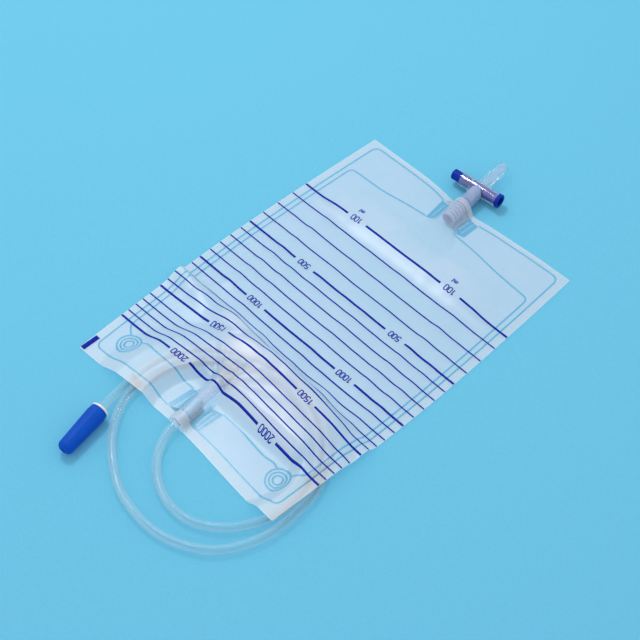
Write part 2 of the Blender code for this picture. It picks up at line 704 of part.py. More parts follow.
def flutter_valve(frame, segments=16):
    """A round collar that flattens into two lips with a slit between them, draped over the back film."""
    bm = bmesh.new()
    stations = ((0.0, 0.0), (0.25, 0.35), (0.5, 0.85), (0.75, 0.95), (1.0, 1.0))
    collar = INLET_RADIUS - VALVE_WALL
    loops = []
    for inset in (0.0, VALVE_WALL):
        shell = []
        for share, flat in stations:
            along = share * VALVE_LENGTH
            across = collar + (VALVE_HALF_WIDTH - collar) * flat
            up = collar + (VALVE_HALF_THICKNESS - collar) * flat
            lift = valve_lift(frame, along, across, up)
            ring = []
            for k in range(segments):
                angle = math.tau * k / segments
                offset = ((across - inset) * math.cos(angle), (up - inset) * math.sin(angle))
                ring.append(bm.verts.new((offset[0], along, offset[1] + lift)))
            shell.append(ring)
        loops.append(shell)
    order = loops[0] + loops[1][::-1]
    for first, second in zip(order, order[1:] + order[:1]):
        for k in range(segments):
            n = (k + 1) % segments
            bm.faces.new((first[k], first[n], second[n], second[k]))
    return bm


def connector_frame():
    """Local Y along the connector, out of the tube and into the cap, from the cap's mouth."""
    place = Vector((CONNECTOR_X, inlet_edge_y() - CONNECTOR_OUT, CAP_RADIUS + GAP / 2))
    return Matrix.Translation(place) @ Matrix.Rotation(math.pi + CONNECTOR_YAW, 4, "Z")


def add_connector(parent):
    """Catheter connector: flange at the cap's mouth, socket for the tube, stepped taper beyond."""
    socket = TUBE_RADIUS + GAP
    body = socket + SOCKET_WALL
    flow = TAPER_TIP_RADIUS - TAPER_WALL
    flange_from = -GAP - FLANGE_THICKNESS
    taper_from = SOCKET_DEPTH + 2 * SOCKET_WALL
    profile = [
        (socket, flange_from), (FLANGE_RADIUS - FLANGE_EDGE, flange_from),
        (FLANGE_RADIUS, flange_from + FLANGE_EDGE), (FLANGE_RADIUS, -GAP), (body, -GAP),
        (body, taper_from - SOCKET_WALL / 2),
    ]
    step_length = (CONNECTOR_LENGTH - taper_from) / TAPER_STEPS
    for k in range(TAPER_STEPS):
        wide = TAPER_TIP_RADIUS + TAPER_GAIN * (TAPER_STEPS - k) / TAPER_STEPS
        from_here = taper_from + k * step_length
        profile.append((wide + TAPER_BARB, from_here))
        profile.append((wide - TAPER_BARB, from_here + step_length))
    profile += [(flow, CONNECTOR_LENGTH), (flow, SOCKET_DEPTH), (socket, SOCKET_DEPTH)]
    shape = turned(profile, segments=SMALL_SEGMENTS)
    add_object("catheter_connector", shape, material("white_plastic", 0.3), parent, connector_frame())


def add_cap(parent):
    """Protective cap: tapered, closed at its end, with a small dimple there."""
    end, edge = CAP_LENGTH, CAP_END_RADIUS
    inner_end = end - CAP_END_WALL
    inner_edge = edge - CAP_WALL
    floor = end - CAP_DIMPLE_DEPTH
    profile = [
        (0.0, inner_end), (inner_edge * 0.88, inner_end), (inner_edge, inner_end - CAP_WALL),
        (CAP_RADIUS - CAP_WALL, CAP_SHOULDER), (CAP_MOUTH_RADIUS - CAP_WALL / 2, 0.0),
        (CAP_MOUTH_RADIUS, 0.0), (CAP_RADIUS, CAP_SHOULDER), (edge, end - CAP_ROUNDING),
        (edge * 0.90, end - CAP_ROUNDING * 0.4), (edge * 0.67, end), (CAP_DIMPLE, end),
        (CAP_DIMPLE * 0.7, floor), (0.0, floor),
    ]
    shape = turned(profile, segments=28)
    add_object("connector_cap", shape, material("cap_plastic", 0.35), parent, connector_frame())


def smooth_route(points, count):
    """Evenly spaced points on a smooth curve through the given ones."""
    lengths = [(b - a).length for a, b in zip(points, points[1:])]
    slopes = []
    for k, point in enumerate(points):
        if k == 0:
            slopes.append((points[1] - point) / lengths[0])
        elif k == len(points) - 1:
            slopes.append((point - points[-2]) / lengths[-1])
        else:
            before = (point - points[k - 1]) / lengths[k - 1]
            after = (points[k + 1] - point) / lengths[k]
            total = lengths[k - 1] + lengths[k]
            slopes.append((before * lengths[k] + after * lengths[k - 1]) / total)
    fine = []
    for k, length in enumerate(lengths):
        for step in range(CURVE_STEPS):
            t = step / CURVE_STEPS
            start = points[k] * (1 + 2 * t) + slopes[k] * length * t
            finish = points[k + 1] * (3 - 2 * t) - slopes[k + 1] * length * (1 - t)
            fine.append(start * (1 - t) ** 2 + finish * t ** 2)
    fine.append(points[-1])
    run = [0.0]
    for a, b in zip(fine, fine[1:]):
        run.append(run[-1] + (b - a).length)
    result, k = [], 0
    for step in range(count):
        target = run[-1] * step / (count - 1)
        while k < len(run) - 2 and run[k + 1] < target:
            k += 1
        result.append(fine[k].lerp(fine[k + 1], (target - run[k]) / (run[k + 1] - run[k])))
    return result


def tube_points():
    """The tube's middle line: raised to the sleeve at its start and to the connector at its end."""
    to_sleeve = inlet_place().z - TUBE_RADIUS
    to_connector = connector_frame().translation.z - TUBE_RADIUS
    level = len(TUBE_ROUTE) - len(SLEEVE_RAISE) - len(CONNECTOR_RAISE)
    raises = [to_sleeve * share for share in SLEEVE_RAISE] + [0.0] * level
    raises += [to_connector * share for share in CONNECTOR_RAISE]
    points = []
    for (x, y), up in zip(TUBE_ROUTE, raises):
        points.append(Vector((x, inlet_edge_y() + y, TUBE_RADIUS + up)))
    return points


def add_tube(parent):
    curve = bpy.data.curves.new("drainage_tube", "CURVE")
    curve.dimensions = "3D"
    curve.bevel_depth = TUBE_RADIUS
    curve.bevel_resolution = 2
    curve.use_fill_caps = True
    places = smooth_route(tube_points(), TUBE_POINTS)
    for place in places:
        place.z = max(place.z, TUBE_RADIUS)
    spline = curve.splines.new("POLY")
    spline.points.add(len(places) - 1)
    for point, place in zip(spline.points, places):
        point.co = (*place, 1.0)
    curve.materials.append(material("clear_pvc", 0.2, 0.6))
    tube = bpy.data.objects.new("drainage_tube", curve)
    bpy.context.scene.collection.objects.link(tube)
    tube.parent = parent


def add_empty(name, parent=None, matrix=None):
    empty = bpy.data.objects.new(name, None)
    bpy.context.scene.collection.objects.link(empty)
    empty.parent = parent
    if matrix is not None:
        empty.matrix_local = matrix
    return empty


def main():
    for obj in list(bpy.data.objects):
        bpy.data.objects.remove(obj)
    nozzle_tip = (neck_frame() @ Vector((0.0, NOZZLE_LENGTH, 0.0))).y
    middle = (nozzle_tip - BAG_LENGTH / 2) / 2
    bag = add_empty("bag_frame", matrix=Matrix.Translation((0.0, -middle, 0.0)))
    tap = add_empty("tap_frame", bag, neck_frame())
    grid = add_films(bag)
    add_scale(grid, bag)
    add_register_bar(grid, bag)
    add_outlet_sleeve(tap)
    add_tap_body(tap)
    add_plunger(tap)
    add_inlet(bag)
    add_tube(bag)
    add_connector(bag)
    add_cap(bag)


main()
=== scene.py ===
"""Urine drainage bag on a light blue table: the looks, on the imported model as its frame.

Metres, +Z up, +Y along the bag to its outlet tap, +X across it to its right edge.
"""

import math

import bmesh
import bpy
from mathutils import Matrix, Vector, noise
from mathutils.geometry import delaunay_2d_cdt


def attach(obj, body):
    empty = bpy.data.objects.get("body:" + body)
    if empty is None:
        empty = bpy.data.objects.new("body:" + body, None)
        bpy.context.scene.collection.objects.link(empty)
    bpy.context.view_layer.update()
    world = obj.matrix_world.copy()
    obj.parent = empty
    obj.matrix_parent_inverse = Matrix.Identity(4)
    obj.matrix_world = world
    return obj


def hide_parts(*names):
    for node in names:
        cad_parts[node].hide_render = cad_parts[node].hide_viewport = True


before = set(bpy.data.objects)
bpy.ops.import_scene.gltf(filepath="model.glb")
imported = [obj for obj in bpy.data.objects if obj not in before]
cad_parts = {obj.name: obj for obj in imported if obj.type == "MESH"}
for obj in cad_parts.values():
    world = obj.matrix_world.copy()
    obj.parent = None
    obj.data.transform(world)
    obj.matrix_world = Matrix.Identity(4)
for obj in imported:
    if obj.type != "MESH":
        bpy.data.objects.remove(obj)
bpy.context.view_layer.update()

# Sizes shared with the solids
GAP = 0.0003
BAG_LENGTH = 0.310
BAG_MID_WIDTH = 0.2200
BAG_END_WIDTH = 0.2096
SIDE_BOW_POWER = 1.6
FILM = 0.0002
SIDE_WELD = 0.012
END_WELD = 0.0375
OUTLET_EDGE_DIP = 0.005
OUTLET_EDGE_DIP_WIDTH = 0.026
INLET_EDGE_DIP = 0.0065
INLET_EDGE_DIP_WIDTH = 0.065
LINE_SHARES = (
    0.2561, 0.2100, 0.1584, 0.1090, 0.0639, 0.0326, -0.0026, -0.0374, -0.0710, -0.1052,
    -0.1329, -0.1629, -0.1887, -0.2145, -0.2387, -0.2726, -0.2968, -0.3194, -0.3435, -0.3652,
)
LINE_Y = tuple(BAG_LENGTH * share for share in LINE_SHARES)
BOLD_LINES = (100, 500, 1000, 1500, 2000)
NUMBER_GAP = 0.020
BAR_LENGTH = 0.0150
BAR_WIDTH = 0.0042
TUBE_DIAMETER = 0.0068
TUBE_RADIUS = TUBE_DIAMETER / 2
COIL_X = 0.027
COIL_INSET = 0.021
COIL_HALF_WIDTH = 0.0785
COIL_HALF_HEIGHT = 0.06785
COIL_HEART = 0.1
COIL_FLAT_OUT = 0.0125
COIL_FLAT_IN = 0.0105
COIL_FALL_IN = 0.012
COIL_FALL_OUT = 0.014
COIL_FALL_SIDE = 0.022
LEFT_FOLD = (0.0058, -0.051, 0.013)
RIGHT_FOLD = (0.0050, -0.072, 0.014)
FOLD_SLANT = 0.17
FOLD_REACH = 0.085
MOUND_LOW = 0.0090
MOUND_MORE = 0.0032
MOUND_RISE_FROM = -0.055
MOUND_RISE_LENGTH = 0.075
MOUND_FALL = 0.026
NECK_DOME_Y = 0.084
NECK_DOME_LENGTH = 0.026
NECK_DOME_REACH = 0.105
NECK_DOME_FADE = 0.06
FREE_FROM_SIDE = 0.022
FREE_FROM_END = 0.020
TENT_POWER = 2.4
NECK_SPAN = 0.005
NECK_WIDENING = 0.6
NECK_FAN = 0.022
NECK_FAN_START = 0.002
INLET_SPAN = 0.0045
INLET_WIDENING = 0.3
INLET_FAN = 0.020
EDGE_BULGE_X = 0.040
EDGE_BULGE_WIDTH = 0.028
EDGE_BULGE_SHARE = 0.32
INLET_DIP_X = -0.005
MOUND_PULL_SHARE = 0.85
MOUND_PULL_FROM = -0.048
MOUND_PULL_LENGTH = 0.020
EDGE_PULL_FROM = -0.105
SLEEVE_WALL = 0.0014
SLEEVE_LENGTH = 0.0411
SLEEVE_RIBS = 7
SLEEVE_RIB_PITCH = 0.0032
NECK_YAW = math.radians(4.8)
NECK_RISE = math.radians(2.0)
TAP_BEYOND_EDGE = 0.0154
TAP_X = -0.0028
SPIGOT_RADIUS = 0.0043
SLEEVE_RADIUS = SPIGOT_RADIUS + GAP + SLEEVE_WALL
NOZZLE_LENGTH = 0.0330
INLET_X = -0.0011
INLET_INSET = 0.0085
INLET_YAW = math.radians(7.2)
INLET_LENGTH = 0.044
INLET_WALL = 0.0011
INLET_RADIUS = TUBE_RADIUS + GAP + INLET_WALL
CAP_RADIUS = 0.0072
CONNECTOR_X = -0.0458
CONNECTOR_OUT = 0.0274
CONNECTOR_YAW = math.radians(12.4)

TUBE_ROUTE = (
    (-0.0039, 0.0310), (-0.0011, 0.0090), (-0.0003, -0.0010), (0.0040, -0.0119),
    (0.0135, -0.0245), (0.0418, -0.0390), (0.0583, -0.0393), (0.0849, -0.0241),
    (0.0931, -0.0128), (0.0993, 0.0000), (0.1020, 0.0210), (0.0950, 0.0481),
    (0.0752, 0.0702), (0.0464, 0.0830), (0.0140, 0.0842), (-0.0160, 0.0736),
    (-0.0380, 0.0531), (-0.0477, 0.0266), (-0.0462, 0.0043), (-0.0429, -0.0080),
    (-0.0344, -0.0225), (-0.0050, -0.0478), (0.0134, -0.0567), (0.0307, -0.0603),
    (0.0527, -0.0604), (0.0735, -0.0540), (0.0913, -0.0421), (0.1092, -0.0055),
    (0.1101, 0.0126), (0.1046, 0.0450), (0.0850, 0.0716), (0.0550, 0.0882),
    (0.0199, 0.0922), (-0.0140, 0.0829), (-0.0402, 0.0620), (-0.0540, 0.0340),
    (-0.0532, 0.0056), (-0.0505, -0.0110), (-0.0465, -0.0240), (-0.0440, -0.0355),
)
CURVE_STEPS = 12
SLEEVE_RAISE = (1.0, 1.0, 0.75, 0.25)
CONNECTOR_RAISE = (0.35, 0.95, 1.0)

# Print as drawn on the film, where the solids have plain strips
THIN_LINE = 0.00115
BOLD_LINE = 0.0018
NUMBER_X = {
    100: (-0.050, 0.050), 500: (-0.0475, 0.050), 1000: (-0.046, 0.050),
    1500: (-0.045, 0.050), 2000: (-0.0435, 0.0495),
}

# Forms of the soft film alone: the dome beside the neck, lower and with one side steeper
NECK_DOME = 0.0048
NECK_DOME_STEEP = 0.0135
# The crease across the bag and the steep face behind it
CREASE_Y = -0.0485
CREASE_SLANT = 0.04
CREASE_SLANT_FROM = -0.05
CREASE_BOW = 0.25
CREASE_RUN = 0.0045
CREASE_RUN_MORE = 0.0050
CREASE_RUN_REACH = 0.065
# The mound's slack left side, and the ridge between it and the crease
SLACK_SHARE = 0.5
SLACK_Y = -0.075
SLACK_LENGTH = 0.035
SLACK_X = -0.02
SLACK_FADE = 0.03
RIDGE_HEIGHT = 0.0082
RIDGE_PLACE = (-0.038, -0.060)
RIDGE_REACH = (0.030, 0.012)
# How far the film is drawn along the bag at the crease, on the face and beside the inlet end.
# A span is where it starts, over what length it rises, where it ends and over what length it falls
CREASE_SHIFT = -0.0014
CREASE_SHIFT_X = 0.040
CREASE_SHIFT_WIDTH = 0.045
CREASE_SHIFT_SPAN = (-0.064, 0.014, -0.032, 0.016)
FACE_SHIFT = 0.0020
FACE_SHIFT_Y = -0.0565
FACE_SHIFT_LENGTH = 0.008
FACE_SHIFT_SPAN = (-0.085, 0.015, 0.0, 0.020)
FACE_SHIFT_MORE = 1.2
FACE_SHIFT_MORE_X = 0.048
FACE_SHIFT_MORE_WIDTH = 0.012
END_SHIFT = 0.0016
END_SHIFT_Y = -0.113
END_SHIFT_LENGTH = 0.006
END_SHIFT_SPAN = (0.0, 0.02, 0.1, 0.02)


def smooth(t):
    t = min(max(t, 0.0), 1.0)
    return t * t * (3.0 - 2.0 * t)


def highest(*heights, power=5.0):
    """The highest of these, with soft joins between them."""
    return sum(max(h, 0.0) ** power for h in heights) ** (1.0 / power)


def half_width(y):
    """Half the bag's width, whose long edges bow out a little."""
    along = min(abs(y) / (BAG_LENGTH / 2), 1.0)
    return (BAG_END_WIDTH + (BAG_MID_WIDTH - BAG_END_WIDTH) * (1.0 - along ** SIDE_BOW_POWER)) / 2


def bell(distance, width):
    return math.exp(-((distance / width) ** 2))


def inlet_edge_y():
    return -BAG_LENGTH / 2


def coil_y():
    return inlet_edge_y() + COIL_INSET


def spot(x, y, place, reach):
    """A rounded patch, 1 at its middle."""
    return bell(x - place[0], reach[0]) * bell(y - place[1], reach[1])


def between(value, start, rise, finish, fall):
    """1 from one place to another, with a soft end at each."""
    return smooth((value - start) / rise) * smooth((finish - value) / fall)


def coil_distance(x, y):
    """Distance from the middle line of the tube's coil, less than 0 inside the coil."""
    dx, dy = x - COIL_X, y - coil_y()
    share = math.hypot(dx / COIL_HALF_WIDTH, dy / COIL_HALF_HEIGHT)
    reach = math.hypot(dx, dy)
    if share < COIL_HEART:
        return -COIL_HALF_HEIGHT
    return reach * (1.0 - 1.0 / share)


def fold(x, y, shape, side):
    """A fold that runs in from one long edge; its shape is a height, a place and a width."""
    height, place, width = shape
    inwards = BAG_MID_WIDTH / 2 - side * x
    middle = place - FOLD_SLANT * inwards * (side < 0)
    return height * bell(y - middle, width) * smooth(1.0 - inwards / FOLD_REACH)


def beyond_crease(x, y):
    """0 on the flat side of the crease that runs across the bag, 1 past the steep face behind it."""
    foot = CREASE_Y - CREASE_SLANT * max(x - CREASE_SLANT_FROM, 0.0) - CREASE_BOW * max(x, 0.0) ** 2
    run = CREASE_RUN + CREASE_RUN_MORE * smooth((x + CREASE_RUN_REACH) / CREASE_RUN_REACH)
    return smooth((foot - y) / run)


def back_height(x, y):
    """Underside of the back film."""
    if beyond_crease(x, y) == 0.0:
        return 0.0
    out = coil_distance(x, y)
    rise = TUBE_DIAMETER + 2 * GAP
    across = abs(x - COIL_X) / max(math.hypot(x - COIL_X, y - coil_y()), GAP)
    fall = COIL_FALL_OUT + (COIL_FALL_SIDE - COIL_FALL_OUT) * across ** 2
    if out > 0:
        coil = rise * (1.0 - smooth((out - COIL_FLAT_OUT) / fall))
    else:
        coil = rise * (1.0 - smooth((-out - COIL_FLAT_IN) / COIL_FALL_IN))
    return highest(coil, fold(x, y, LEFT_FOLD, -1), fold(x, y, RIGHT_FOLD, 1)) * beyond_crease(x, y)


def neck_place():
    slope = math.sin(NECK_RISE) * SLEEVE_LENGTH
    lowest = FILM + GAP + SLEEVE_RADIUS
    return Vector((TAP_X, BAG_LENGTH / 2 + TAP_BEYOND_EDGE, lowest + slope))


def neck_frame():
    aim = Matrix.Rotation(NECK_YAW, 4, "Z") @ Matrix.Rotation(NECK_RISE, 4, "X")
    return Matrix.Translation(neck_place()) @ aim


def inlet_place():
    return Vector((INLET_X, inlet_edge_y() + INLET_INSET, FILM + GAP + INLET_RADIUS))


def inlet_frame():
    return Matrix.Translation(inlet_place()) @ Matrix.Rotation(INLET_YAW, 4, "Z")


def connector_frame():
    place = Vector((CONNECTOR_X, inlet_edge_y() - CONNECTOR_OUT, CAP_RADIUS + GAP / 2))
    return Matrix.Translation(place) @ Matrix.Rotation(math.pi + CONNECTOR_YAW, 4, "Z")


NECK_INVERSE = neck_frame().inverted()
INLET_INVERSE = inlet_frame().inverted()
NECK_PLACE = neck_place()
MIDDLE = ((neck_frame() @ Vector((0.0, NOZZLE_LENGTH, 0.0))).y - BAG_LENGTH / 2) / 2


def tent(offset, half, height):
    """Height of a sheet that hangs over a ridge, at this offset from it."""
    share = abs(offset) / half
    return height * (1.0 - share ** TENT_POWER) if share < 1.0 else 0.0


def neck_tent(x, y):
    """How high the outlet sleeve holds the film."""
    place = NECK_INVERSE @ Vector((x, y, NECK_PLACE.z))
    beyond = max(-place.y - SLEEVE_LENGTH - NECK_FAN_START, 0.0)
    top = NECK_PLACE.z + SLEEVE_RADIUS + GAP + place.y * math.sin(NECK_RISE)
    height = (top + GAP) * math.exp(-beyond / NECK_FAN)
    return tent(place.x, SLEEVE_RADIUS + NECK_SPAN + NECK_WIDENING * beyond, height)


def inlet_tent(x, y):
    """How high the inlet sleeve holds the film."""
    place = INLET_INVERSE @ Vector((x, y, 0.0))
    beyond = max(place.y - INLET_LENGTH, 0.0)
    height = (2 * INLET_RADIUS + 4 * GAP) * math.exp(-beyond / INLET_FAN)
    return tent(place.x, INLET_RADIUS + INLET_SPAN + INLET_WIDENING * beyond, height)


def front_height(x, y):
    """Upper side of the front film, before its wrinkles."""
    base = back_height(x, y) + 2 * FILM + GAP
    inside = half_width(y) - SIDE_WELD - abs(x)
    inside_end = BAG_LENGTH / 2 - END_WELD - abs(y)
    free = smooth(inside / FREE_FROM_SIDE) * smooth(inside_end / FREE_FROM_END)
    mound_top = MOUND_LOW + MOUND_MORE * smooth((x - MOUND_RISE_FROM) / MOUND_RISE_LENGTH)
    mound = mound_top * (1.0 - smooth((coil_distance(x, y) - COIL_FLAT_OUT / 2) / MOUND_FALL))
    slack = SLACK_SHARE * smooth((SLACK_Y - y) / SLACK_LENGTH)
    mound *= 1.0 - slack * (1.0 - smooth((x - SLACK_X) / SLACK_FADE))
    ridge = RIDGE_HEIGHT * spot(x, y, RIDGE_PLACE, RIDGE_REACH)
    mound = highest(mound, ridge) * beyond_crease(x, y)
    dome_length = NECK_DOME_LENGTH if y > NECK_DOME_Y else NECK_DOME_STEEP
    dome = NECK_DOME * bell(y - NECK_DOME_Y, dome_length)
    dome *= smooth((NECK_DOME_REACH - abs(x)) / NECK_DOME_FADE)
    loose = highest(mound - base, dome, 0.0) * free
    return base + highest(loose, neck_tent(x, y) - base, inlet_tent(x, y) - base)


def drawn_in(x, y):
    """How far the film is drawn in along the bag: by the neck at one end, by the mound at the other."""
    if y > 0:
        share = smooth((y - (BAG_LENGTH / 2 - END_WELD)) / END_WELD)
        side = EDGE_BULGE_SHARE * bell(x - EDGE_BULGE_X, EDGE_BULGE_WIDTH)
        return -share * OUTLET_EDGE_DIP * (bell(x, OUTLET_EDGE_DIP_WIDTH) + side)
    near = CREASE_SHIFT * bell(x - CREASE_SHIFT_X, CREASE_SHIFT_WIDTH) * between(y, *CREASE_SHIFT_SPAN)
    across = between(x, *FACE_SHIFT_SPAN)
    across += FACE_SHIFT_MORE * bell(x - FACE_SHIFT_MORE_X, FACE_SHIFT_MORE_WIDTH)
    near += FACE_SHIFT * bell(y - FACE_SHIFT_Y, FACE_SHIFT_LENGTH) * across
    near += END_SHIFT * bell(y - END_SHIFT_Y, END_SHIFT_LENGTH) * between(x, *END_SHIFT_SPAN)
    pull = MOUND_PULL_SHARE * smooth((MOUND_PULL_FROM - y) / MOUND_PULL_LENGTH)
    pull += (1.0 - MOUND_PULL_SHARE) * smooth((EDGE_PULL_FROM - y) / (BAG_LENGTH / 2 + EDGE_PULL_FROM))
    return near + pull * INLET_EDGE_DIP * bell(x - INLET_DIP_X, INLET_EDGE_DIP_WIDTH)


def to_flat(x, y, rounds=6):
    """Place on the flat film of a point seen at (x, y) on the lying bag."""
    flat = y
    for _ in range(rounds):
        flat = y - drawn_in(x, flat)
    return (x, flat)


# Creases along the front film: place, lean, height, width, and where each starts and ends
LENGTH_CREASES = (
    (-0.0730, 0.070, 0.0013, 0.0042, -0.050, 0.075),
    (-0.0520, -0.050, 0.0009, 0.0048, -0.060, 0.030),
    (-0.0300, 0.100, 0.0006, 0.0060, -0.010, 0.070),
    (0.0180, 0.040, 0.0006, 0.0070, -0.040, 0.045),
    (0.0640, 0.060, 0.0012, 0.0045, -0.035, 0.075),
    (0.0860, 0.020, 0.0008, 0.0050, -0.070, 0.060),
)
CREASE_END = 0.02
CREASE_FAR_SIDE = 2.2
WRINKLES_FROM_SIDE = 0.010
WRINKLES_FROM_END = 0.012
# Creases that spread from a point inside a sleeve's inner end: their angles and spread in degrees,
# how high they are, how far they reach, how far inside the sleeve that point lies, and how far
# behind it they go on
NECK_FAN_CREASES = {
    "angles": (-68, -50, -33, -19, -6, 9, 23, 38, 55, 72),
    "height": 0.0016, "spread": 5.0, "reach": 0.026, "overlap": 0.004, "behind": 0.012,
}
INLET_FAN_CREASES = {
    "angles": (-74, -52, -34, -15, 4, 24, 41, 60, 78),
    "height": 0.0020, "spread": 6.0, "reach": 0.030, "overlap": 0.002, "behind": 0.010,
}
FAN_FROM = 0.004
FAN_RISE = 0.010
# Each crease of a fan has its own share of the height
FAN_SHARE = 0.65
FAN_SHARE_CHANGE = 0.35
FAN_SHARE_STEP = 2.4
FAN_SHARE_START = 1.0
# Waves of the whole film: height, how many a metre across and along, and their seed
WAVES = ((0.0007, 38, 30, 3.1), (0.00035, 95, 75, 8.7))
# Folds down the steep face and along its foot, with their rates in radians a metre
FACE_FOLD = 0.0004
FACE_Y = -0.056
FACE_SLANT = 0.05
FACE_LENGTH = 0.014
FACE_RATE_ACROSS = 260
FACE_RATE_ALONG = 90
FACE_SWAY = 2.0
FACE_SWAY_RATE = 61
RIB_GROOVE = 0.00045
RIB_GROOVE_SIDE = 0.001


def fan(across, beyond, angles, height, spread, reach, overlap, behind):
    """Creases that spread from a sleeve's inner end, at a place across the sleeve and beyond it."""
    beyond += overlap
    distance = math.hypot(across, beyond)
    if beyond <= -behind or distance < 1e-6:
        return 0.0
    angle = math.degrees(math.atan2(across, beyond))
    total = 0.0
    for k, middle in enumerate(angles):
        share = FAN_SHARE + FAN_SHARE_CHANGE * math.cos(FAN_SHARE_STEP * k + FAN_SHARE_START)
        total += share * bell(angle - middle, spread)
    fade = smooth((distance - FAN_FROM) / FAN_RISE) * math.exp(-distance / reach)
    return height * total * fade


def wrinkles(x, y):
    """Creases, waves and folds of the front film, inside its welds."""
    inside = smooth((half_width(y) - SIDE_WELD - abs(x)) / WRINKLES_FROM_SIDE)
    inside_end = smooth((BAG_LENGTH / 2 - END_WELD - abs(y)) / WRINKLES_FROM_END)
    total = 0.0
    for place, lean, height, width, y_from, y_to in LENGTH_CREASES:
        off = x - place - lean * y
        across = bell(off, width if off < 0 else width * CREASE_FAR_SIDE)
        total += height * across * between(y, y_from, CREASE_END, y_to, CREASE_END)
    for height, across, along, seed in WAVES:
        total += height * noise.noise(Vector((x * across, y * along, seed)))
    neck = NECK_INVERSE @ Vector((x, y, NECK_PLACE.z))
    total += fan(neck.x, -neck.y - SLEEVE_LENGTH, **NECK_FAN_CREASES)
    inlet = INLET_INVERSE @ Vector((x, y, 0.0))
    total += fan(inlet.x, inlet.y - INLET_LENGTH, **INLET_FAN_CREASES)
    face = bell(y - FACE_Y + FACE_SLANT * x, FACE_LENGTH)
    phase = x * FACE_RATE_ACROSS + FACE_SWAY * math.sin(x * FACE_SWAY_RATE) + y * FACE_RATE_ALONG
    total += FACE_FOLD * face * math.sin(phase)
    return total * inside * inside_end


def sleeve_ribs(x, y):
    """Ribs of the outlet sleeve pressing through the film."""
    place = NECK_INVERSE @ Vector((x, y, NECK_PLACE.z))
    along = place.y + SLEEVE_LENGTH
    if not 0.0 < along < SLEEVE_RIBS * SLEEVE_RIB_PITCH:
        return 0.0
    across = tent(place.x, SLEEVE_RADIUS + RIB_GROOVE_SIDE, 1.0)
    groove = 0.5 - 0.5 * math.cos(math.tau * along / SLEEVE_RIB_PITCH)
    return -RIB_GROOVE * across * groove


def front_surface(x, y):
    """Upper side of the front film."""
    return front_height(x, y) + wrinkles(x, y) + sleeve_ribs(x, y)


def new_object(name, data):
    obj = bpy.data.objects.new(name, data)
    bpy.context.scene.collection.objects.link(obj)
    return obj


# Materials. In the helpers, made is the material, or the world, whose nodes they add to
COLOR_STOPS = (0.35, 0.65)
COLOR_DETAIL = 3.0
BUMP_DETAIL = 4.0
WALL_BLEND = 0.5
WALL_POWER = 2.0


def principled(name, color, roughness, **sockets):
    made = bpy.data.materials.new(name)
    made.use_nodes = True
    shader = shader_of(made)
    shader.inputs["Base Color"].default_value = (*color, 1.0)
    shader.inputs["Roughness"].default_value = roughness
    for socket, value in sockets.items():
        shader.inputs[socket.replace("_", " ")].default_value = value
    return made


def shader_of(made):
    return made.node_tree.nodes["Principled BSDF"]


def add_node(made, kind, **values):
    """A node of this kind, with values for its sockets or its settings."""
    node = made.node_tree.nodes.new(kind)
    for key, value in values.items():
        if key in node.inputs:
            node.inputs[key].default_value = value
        else:
            setattr(node, key, value)
    return node


def link(made, source, target):
    made.node_tree.links.new(source, target)


def reckon(made, operation, *terms, clamp=False):
    """The result of a math node, whose terms are numbers or the outputs of other nodes."""
    node = add_node(made, "ShaderNodeMath", operation=operation, use_clamp=clamp)
    for socket, term in zip(node.inputs, terms):
        if isinstance(term, float):
            socket.default_value = term
        else:
            link(made, term, socket)
    return node.outputs["Value"]


def color_socket(sockets, name=None):
    return next(s for s in sockets if s.type == "RGBA" and name in (None, s.name))


def mixed(made, factor, *colors):
    """Two colours mixed; each is a value or the output of another node."""
    node = add_node(made, "ShaderNodeMix", data_type="RGBA")
    link(made, factor, node.inputs["Factor"])
    for name, color in zip("AB", colors):
        if isinstance(color, tuple):
            color_socket(node.inputs, name).default_value = (*color, 1.0)
        else:
            link(made, color, color_socket(node.inputs, name))
    return color_socket(node.outputs)


def noise_of(made, scale, detail):
    """Noise that stays with the piece."""
    coords = add_node(made, "ShaderNodeTexCoord")
    tex = add_node(made, "ShaderNodeTexNoise", Scale=scale, Detail=detail)
    link(made, coords.outputs["Object"], tex.inputs["Vector"])
    return tex.outputs["Fac"]


def bump(made, height, strength, distance, normal=None):
    """The normal of a bumpy surface, upon another normal where one is given."""
    node = add_node(made, "ShaderNodeBump", Strength=strength, Distance=distance)
    link(made, height, node.inputs["Height"])
    if normal:
        link(made, normal, node.inputs["Normal"])
    return node.outputs["Normal"]


def vary_color(made, color_a, color_b, scale):
    """Lets the colour drift between two close ones."""
    ramp = add_node(made, "ShaderNodeValToRGB")
    for stop, position, color in zip(ramp.color_ramp.elements, COLOR_STOPS, (color_a, color_b)):
        stop.position = position
        stop.color = (*color, 1.0)
    link(made, noise_of(made, scale, COLOR_DETAIL), ramp.inputs["Fac"])
    link(made, ramp.outputs["Color"], shader_of(made).inputs["Base Color"])


def bumpy(made, scale, strength, distance):
    """Gives the surface fine bumps, so many a metre."""
    normal = bump(made, noise_of(made, scale, BUMP_DETAIL), strength, distance)
    link(made, normal, shader_of(made).inputs["Normal"])


def along_neck(made, socket_name, near, far):
    """Changes a value along the neck. Near and far are each a place, from the barrel, and a value."""
    coords = add_node(made, "ShaderNodeTexCoord")
    place = add_node(made, "ShaderNodeSeparateXYZ")
    link(made, coords.outputs["Object"], place.inputs["Vector"])
    along = reckon(made, "MULTIPLY_ADD", place.outputs["X"], -math.tan(NECK_YAW), place.outputs["Y"])
    barrel = NECK_PLACE.y - MIDDLE
    change = add_node(made, "ShaderNodeMapRange", **{
        "From Min": barrel + near[0], "From Max": barrel + far[0],
        "To Min": near[1], "To Max": far[1],
    })
    link(made, along, change.inputs["Value"])
    link(made, change.outputs["Result"], shader_of(made).inputs[socket_name])


